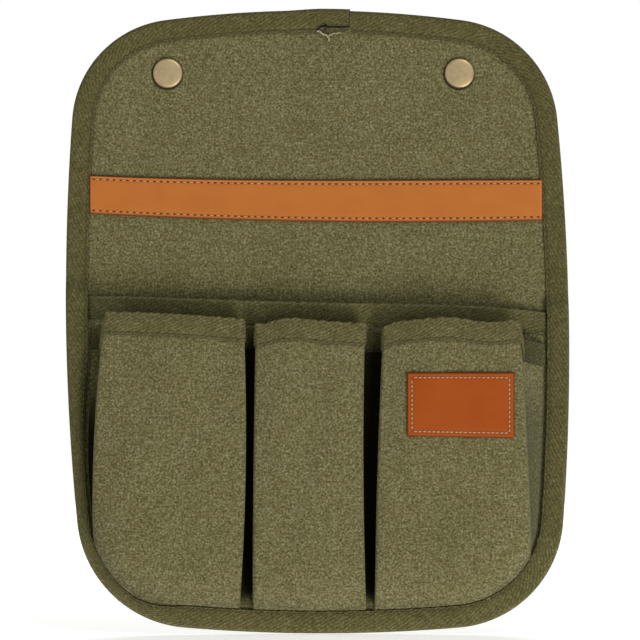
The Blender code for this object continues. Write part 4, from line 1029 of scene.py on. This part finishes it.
rowShare = np.concatenate([np.linspace(0, 0.12, 15)[:-1], np.linspace(0.12, 1, 66)])
midRow = 60  # a row well up the pocket, where the distance across is measured
tapeDown = np.linspace(0, 1, 25)[:, None]  # share of the way down a mouth tape's 25 rows
for pocket, size in pockets.items():
    body = pocket + "_pocket"
    low = seamLow(pocket)
    tops = mouthTops(pocket)
    z = low + (tops - low) * rowShare[:, None]
    z = np.vstack([low - pleat["under"], low - pleat["under"] / 2, z])
    points = pocketPoints(pocket, z, low)
    u = walked(points[midRow])
    made = gridSheet(pocket + "PocketCloth", points, u[None, :] + points[midRow, 0, 0], z, cloth["canvas"],
                     looks["canvas"])
    # painted shade darkens the gussets from the crease to the foot; the left outer one only from half way down,
    # and the right outer one, which the light reaches, gets a little painted shade beside its crease
    pocketShade = 1 - smooth((panel["stripY"] - points[..., 1]) / (0.8 * pleat["depth"]))
    pocketShade = 0.96 * pocketShade * smooth((points[..., 2] - low) / 0.012)
    down = smooth((up(0.150) - points[..., 2]) / 0.036)
    if size["outer"] == "left":
        pocketShade[:, nearLeft] *= 0.30 + 0.70 * down[:, nearLeft]
    if size["outer"] == "right":
        pocketShade[:, nearRight] = (0.10 + 0.34 * down[:, nearRight]) * (0.5 + 0.5 * gussetPart[::-1])
    # painted shade makes the fronts a little darker where they turn in to the hem, and the left one towards the
    # round corner
    lowCorner = smooth((-0.075 - points[..., 0]) / 0.030) if size["outer"] == "left" else 0.0
    hem = (0.07 + 0.20 * lowCorner) * (1 - smooth((points[..., 2] - low) / (0.010 + 0.008 * lowCorner)))
    for part in (turnLeft, acrossFront, turnRight):
        pocketShade[:, part] = hem[:, part]
    # painted shade low on the left pocket beside its outer foot
    if size["outer"] == "left":
        rounded = 1 - smooth((points[..., 0] - points[:, :1, 0]) / 0.022)
        pocketShade = np.maximum(pocketShade, 0.24 * (smooth((up(0.100) - points[..., 2]) / 0.05) * rounded))
    addPaintedShade(made, pocketShade)
    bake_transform(made)
    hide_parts(*size["nodes"])
    tape, seam, tapeLength = mouthTape(pocket + "PocketTape", lambda rows: pocketPoints(pocket, rows, low), tops,
                                       tapeRise, looks["mouth"], size["degree"] + len(pocket))
    # painted shade on the mouth tape over the gussets, darkest at their feet and a fifth less over the left outer
    # one; over the right outer gusset a little, rising towards its crease
    shaded = np.zeros((len(tapeDown), columnCount))
    for part, along in ((nearLeft, gussetPart), (nearRight, gussetPart[::-1])):
        shaded[:, part] = (0.75 - 0.40 * tapeDown) * (1 - smooth(along / 0.9))
    if size["outer"] == "left":
        shaded[:, nearLeft] *= 0.80
    if size["outer"] == "right":
        shaded[:, nearRight] = 0.25 + 0.33 * gussetPart[::-1]
    addPaintedShade(tape, shaded)
    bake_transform(tape)
    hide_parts(*[node + "_tape" for node in size["nodes"]])
    stitches = stitchRow(pocket + "TapeSeam", [seam], tapeStitch, looks["oliveThread"])
    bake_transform(stitches)
    size["points"] = points
stitches = stitchRow("wideTapeSeam", [wideSeam], tapeStitch, looks["oliveThread"])
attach(stitches, "panel")
print("bellows pockets made")


# Points of a gap's fold at rows of heights, by straight lines between its own rows
def foldPoints(points, rows):
    heights = points[..., 2]
    place = [np.stack([np.interp(rows[:, i], heights[:, i], points[:, i, axis]) for axis in (0, 1)], -1)
             for i in range(rows.shape[1])]
    return np.concatenate([np.stack(place, 1), rows[..., None]], -1)


# Back folds of the pleated strip in the two gaps, from one pocket's foot to the next
share = np.linspace(0, 1, 9)[None, :, None]
for name, first, second in (("left", "left", "middle"), ("right", "middle", "right")):
    footLeft = pockets[first]["points"][:, -1]
    footRight = pockets[second]["points"][:, 0]
    # a little behind the feet, so that the strip turns round without an edge
    points = footLeft[:, None] + (footRight - footLeft)[:, None] * share
    points[..., 1] += 0.0008 * np.sin(np.pi * share[..., 0]) ** 0.5
    fold = gridSheet(name + "GapCloth", points, 0.3 + points[..., 0], points[..., 2], cloth["canvas"],
                     looks["canvas"])
    # painted shade, nearly black, over the back fold deep in the gap, fading out at the bottom seam
    addPaintedShade(fold, 0.95 * smooth((points[..., 2] - seamZ) / 0.012))
    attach(fold, "panel")
    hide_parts("pleat_" + name + "_gap")
    tape, _, tapeLength = mouthTape(name + "GapTape", partial(foldPoints, points), points[-1, :, 2], tapeRise,
                                    looks["mouth"], 77)
    # painted shade on the gap's tape, darkest at its lower edge
    addPaintedShade(tape, np.repeat(0.70 * (1 - 0.7 * tapeDown ** 0.7), share.size, 1))
    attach(tape, "panel")
    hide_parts("pleat_" + name + "_gap_tape")
print("gap folds made")


# Leather patch on the right pocket, left bare

patch = {"left": 0.0509, "right": 0.1123, "low": 0.1133, "high": 0.1507, "thick": 0.0016, "corner": 0.0009,
         "channel": 0.0029, "cutHigher": 0.0012}


# y of the right pocket's front at places and heights, by straight lines between its rows and then its columns
def frontAt(x, z):
    grid = pockets["right"]["points"][:, acrossFront]
    heights = grid[:, 20, 2]
    places, depths = (np.stack([np.interp(z, heights, column) for column in grid[..., axis].T], -1)
                      .reshape(x.size, -1) for axis in (0, 1))
    return np.array([np.interp(*point) for point in zip(x.ravel(), places, depths)]).reshape(x.shape)


nearEdge = np.array([0.0, 0.00012, 0.00035, 0.0007, 0.0012, 0.0018, 0.0024, 0.0029, 0.0034, 0.0042])
patchRelief = np.array([0.45, 0.72, 0.90, 1.0, 1.04, 1.02, 0.94, 0.86, 0.94, 1.0])
patchWide = patch["right"] - patch["left"]
patchHigh = patch["high"] - patch["low"]
u = np.concatenate([nearEdge, np.linspace(0.0060, patchWide - 0.0060, 30), patchWide - nearEdge[::-1]])
v = np.concatenate([nearEdge, np.linspace(0.0058, patchHigh - 0.0058, 16), patchHigh - nearEdge[::-1]])
uGrid, vGrid = np.meshgrid(u, v)
inU = np.minimum(uGrid, patchWide - uGrid)
inV = np.minimum(vGrid, patchHigh - vGrid)
rim = np.minimum(inU, inV)
# corners are cut round by drawing the outer rings in towards the corner's centre
aside = np.maximum(patch["corner"] - inU, 0) / patch["corner"]
above = np.maximum(patch["corner"] - inV, 0) / patch["corner"]
most = np.maximum(aside, above)
pull = patch["corner"] * (most - most ** 2 / np.maximum(np.hypot(aside, above), 1e-9))
pull = pull * (aside > 0) * (above > 0)
patchX = patch["left"] + uGrid + np.sign(patchWide / 2 - uGrid) * pull
patchZ = up(patch["low"]) + vGrid + np.sign(patchHigh / 2 - vGrid) * pull
# the lower left corner is cut higher
patchZ = patchZ + patch["cutHigher"] * (1 - uGrid / patchWide) * (1 - vGrid / patchHigh)
uprightX = upright(patchX, patchZ)
back = frontAt(uprightX, patchZ) - cloth["canvas"] / 2 - 0.00005
# leather is stiffer than the cloth: its back is the cloth's surface, smoothed along both sides
for axis in (0, 1):
    for _ in range(6):
        padded = np.concatenate([back.take([0], axis), back, back.take([-1], axis)], axis)
        back = (padded.take(range(0, back.shape[axis]), axis) + padded.take(range(2, back.shape[axis] + 2), axis)
                + 2 * back) / 4
thick = patch["thick"] * np.interp(rim, nearEdge, patchRelief)
looks["patch"] = smoothLeather(
    "rust_leather_smooth", ((0.28, "#8C3D06"), (0.50, "#934207"), (0.74, "#9A480A")),
    {"raised": 1.8, "share": 0.5, "light": "#A04B12", "channel": 2.9, "dark": "#5A2306"},
    (patchWide, patchHigh), 0.52)
labelPatch = slab("bareLeatherPatch", np.stack([uprightX, back - thick, patchZ], -1),
                  np.stack([uprightX, back, patchZ], -1), uGrid, vGrid, looks["patch"])
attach(labelPatch, "right_pocket")
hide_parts("label_patch")

# the stitches go round on a rectangle inside the patch
near = patch["channel"]
farU, farV = patchWide - near, patchHigh - near
corners = np.array([[near, near], [farU, near], [farU, farV], [near, farV], [near, near]])
lines = []
for start, end in zip(corners, corners[1:]):
    way = start + (end - start) * np.linspace(0, 1, 40)[:, None]
    row = np.argmin(np.abs(way[:, 1:] - v), axis=1)
    column = np.argmin(np.abs(way[:, :1] - u), axis=1)
    lineX, lineZ = uprightX[row, column], patchZ[row, column]
    if start[1] == end[1]:
        lineX = np.interp(way[:, 0], u, uprightX[row[0]])
    else:
        lineZ = np.interp(way[:, 1], v, patchZ[:, column[0]])
    line = np.stack([lineX, (back - thick)[row, column], lineZ], -1)
    lines.append((line, np.tile([0.0, -1.0, 0.0], (len(way), 1))))
patchSeam = stitchRow("patchSeam", lines, {"pitch": 0.0026, "fill": 0.94, "radius": 0.00040},
                      looks["patchThread"])
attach(patchSeam, "right_pocket")
print("patch made")


# Snap fasteners, turned to the CAD's sizes

capSize = {"radius": snaps["capRadius"], "height": 0.0028, "barrel": 0.0022, "swage": 0.0032,
           "swageHeight": 0.0005}
socketSize = {"radius": 0.0068, "height": 0.0044, "floor": 0.0006, "mouth": 0.00405, "lip": 0.0004,
              "cavity": 0.0042, "groove": 0.0047, "wire": 0.0003, "spring": 0.00385, "sweep": 320}
studSize = {"base": 0.0062, "low": 0.0009, "neck": 0.0030, "head": 0.0037, "top": 0.0028, "recess": 0.00275,
            "depth": 0.0008, "barrel": 0.0020, "spread": 0.0024, "flange": 0.0055, "flangeHeight": 0.0006}
gap = cloth["gap"]
canvasFront = panel["canvasY"] - cloth["canvas"] / 2

# cap: a parabola for the dome, a rim that rolls under, and a barrel swaged in the socket
r, h = capSize["radius"], capSize["height"]
end = canvasFront - 2 * gap - socketSize["floor"]
dome = [(0.80 * r * t, h * (1 - 0.20 * t ** 2)) for t in np.linspace(0, 1, 10)]
rolled = [(0.84, 0.775), (0.875, 0.74), (0.91, 0.685), (0.94, 0.615), (0.97, 0.51), (0.99, 0.39), (1.0, 0.26),
          (0.985, 0.13), (0.95, 0.03)]
capProfile = [
    *dome, *[(a * r, b * h) for a, b in rolled], (capSize["barrel"], 0.03 * h), (capSize["barrel"], end),
    (capSize["swage"], end), (capSize["swage"], end - 0.0003),
    (0.9 * capSize["swage"], end - capSize["swageHeight"]), (0.0, end - capSize["swageHeight"])]

# socket: a wall that narrows from its foot to its rounded top, and a cavity with a groove for the spring
top = gap + socketSize["height"]
lip = top - socketSize["lip"]
groove = lip - 4 * socketSize["wire"]
hole = capSize["barrel"] + gap
wall = [(0.82, 0.93), (0.84, 0.85), (0.865, 0.55), (0.88, 0.38), (0.92, 0.29), (0.97, 0.25), (0.995, 0.20),
        (1.0, 0.15)]
r = socketSize["radius"]
socketProfile = [
    (0.00445, top), (0.72 * r, top + 0.00002), (0.78 * r, top - 0.00012), *[(a * r, b * top) for a, b in wall],
    (0.97 * r, gap), (hole, gap), (hole, gap + socketSize["floor"]),
    (socketSize["cavity"], gap + socketSize["floor"]), (socketSize["cavity"], groove - 0.0002),
    (socketSize["groove"], groove), (socketSize["groove"], lip), (socketSize["mouth"], lip + 0.0001),
    (socketSize["mouth"], top - 0.00015), (0.0042, top - 0.00003)]

# spring: a split ring of wire
turn = np.radians(np.linspace(0, socketSize["sweep"], 49))
ring = np.stack([socketSize["spring"] * np.cos(turn), np.full(turn.shape, lip - 2 * socketSize["wire"]),
                 socketSize["spring"] * np.sin(turn)], -1)

# stud: a wide foot, a neck and a head with a recess
base = gap + studSize["low"]
top = base + studSize["top"]
bore = studSize["barrel"] + gap
floorUp = top - studSize["depth"]
head, neck, foot, recess = (studSize[key] for key in ("head", "neck", "base", "recess"))
studProfile = [
    (recess + 0.0004, top), (0.88 * head, top - 0.00004), (0.95 * head, top - 0.00016),
    (0.985 * head, top - 0.0004), (head, top - 0.0007), (0.99 * head, top - 0.0009),
    (0.96 * head, top - 0.0011), (0.88 * head, top - 0.00128), (neck, top - 0.0014), (neck, base + 0.0004),
    (neck + 0.0001, base + 0.0002), (neck + 0.0004, base), (0.88 * foot, base), (0.96 * foot, base - 0.0001),
    (0.99 * foot, base - 0.00022), (foot, base - 0.0004), (0.98 * foot, gap), (bore, gap),
    (bore, floorUp - 0.0002), (recess, floorUp), (recess, top - 0.0002), (recess + 0.0001, top - 0.00005)]

# post: its end spread in the stud's recess, and a flange below the canvas
under = canvasFront - gap
tip = top - 0.0001
seat = floorUp + gap
spread, barrel, flange = (studSize[key] for key in ("spread", "barrel", "flange"))
postProfile = [
    (0.0, tip), (0.5 * spread, tip), (0.88 * spread, tip - 0.00004), (0.97 * spread, tip - 0.00012),
    (spread, tip - 0.00025), (spread, seat), (barrel, seat), (barrel, under), (0.94 * flange, under),
    (0.99 * flange, under - 0.0001), (flange, under - 0.00022), (0.98 * flange, under - 0.0004),
    (0.93 * flange, under - 0.00055), (0.88 * flange, under - studSize["flangeHeight"]),
    (0.0, under - studSize["flangeHeight"])]


# One piece of a side's snap, turned in brass, that moves with a body
def snapPiece(side, kind, body, *shape):
    made = turnedPiece(side + "Snap" + kind, *shape, looks["brass"])
    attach(made, body)
    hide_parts("snap_" + kind.lower() + "_" + side)


for side, x in snaps["x"].items():
    capPlace, studPlace = (x, snaps["capZ"]), (x, snaps["studZ"])
    snapPiece(side, "Cap", "flap", capProfile, False, capPlace, canvasFront, -1)
    snapPiece(side, "Socket", "flap", socketProfile, True, capPlace, 0.0, 1)
    spring = tubePiece(side + "SnapSpring", ring + (x, 0.0, snaps["capZ"]), socketSize["wire"], looks["steel"])
    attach(spring, "flap")
    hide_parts("snap_spring_" + side)
    snapPiece(side, "Stud", "panel", studProfile, True, studPlace, 0.0, 1)
    snapPiece(side, "Post", "panel", postProfile, False, studPlace, 0.0, 1)
print("snaps made")


# Camera, light and floor

bpy.context.scene.view_settings.view_transform = "Standard"
view = {"distance": 2.2, "frame": 0.3693, "x": 0.00144, "z": -0.0327}
camera = bpy.data.cameras.new("camera")
camera.sensor_width = 36.0
camera.lens = 36.0 * view["distance"] / view["frame"]
cameraObject = addObject("camera", camera)
cameraObject.location = (view["x"], -view["distance"], view["z"])
cameraObject.rotation_euler = (np.pi / 2, 0.0, 0.0)
bpy.context.scene.camera = cameraObject


# Area light at a place, facing a point, with its size and power
def addLight(name, place, target, size, power):
    data = bpy.data.lights.new(name, "AREA")
    data.shape = "DISK"
    data.size = size
    data.energy = power
    made = addObject(name, data)
    made.location = place
    aim = np.array(target) - np.array(place)
    aim = aim / np.linalg.norm(aim)
    made.rotation_euler = (np.arccos(-aim[2]), 0.0, np.arctan2(aim[1], aim[0]) - np.pi / 2)


addLight("keyLowRight", (1.89, -3.28, -2.96), (0.0, 0.0, -0.05), 2.2, 140)
addLight("fillTop", (1.3, -2.4, 2.4), (0.0, 0.0, -0.03), 1.5, 36)
addLight("fillLeft", (-2.2, -3.0, -1.8), (0.0, 0.0, -0.05), 1.4, 14)
addLight("fillBack", (0.3, 2.2, 1.6), (0.0, 0.0, -0.03), 1.8, 40)

world = bpy.data.worlds.new("world")
bpy.context.scene.world = world
world.use_nodes = True
tree = world.node_tree
tree.nodes.clear()
# soft light on the object, and plain white to the camera, in mirrors and through glass
rays = addNode(tree, "LightPath").node.outputs
seen = addNode(tree, "MAXIMUM", rays["Is Camera Ray"], rays["Is Glossy Ray"])
seen = addNode(tree, "MAXIMUM", seen, rays["Is Transmission Ray"])
soft = addNode(tree, "Background", linear("#FFFFFF"), 0.22)
plain = addNode(tree, "Background", linear("#FFFFFF"), 1.0)
addNode(tree, "OutputWorld", addNode(tree, "MixShader", seen, soft, plain))

# white paper a little below the object, which glows so that it renders white
floorSize = 1.6
floorZ = cadBounds[0][2] - 0.0006
data = bpy.data.meshes.new("floor")
data.from_pydata([(x * floorSize, y * floorSize, floorZ) for x, y in ((-1, -1), (1, -1), (1, 1), (-1, 1))],
                 [], [(0, 1, 2, 3)])
floor = addObject("floor", data)
paper = bpy.data.materials.new("white_paper_floor")
paper.use_nodes = True
for key, value in (("Base Color", linear("#F4F4F4")), ("Emission Color", linear("#FFFFFF")),
                   ("Emission Strength", 0.5), ("Roughness", 0.9), ("Specular IOR Level", 0.1)):
    paper.node_tree.nodes["Principled BSDF"].inputs[key].default_value = value
data.materials.append(paper)
floor.visible_shadow = False
print("camera, light and floor made")
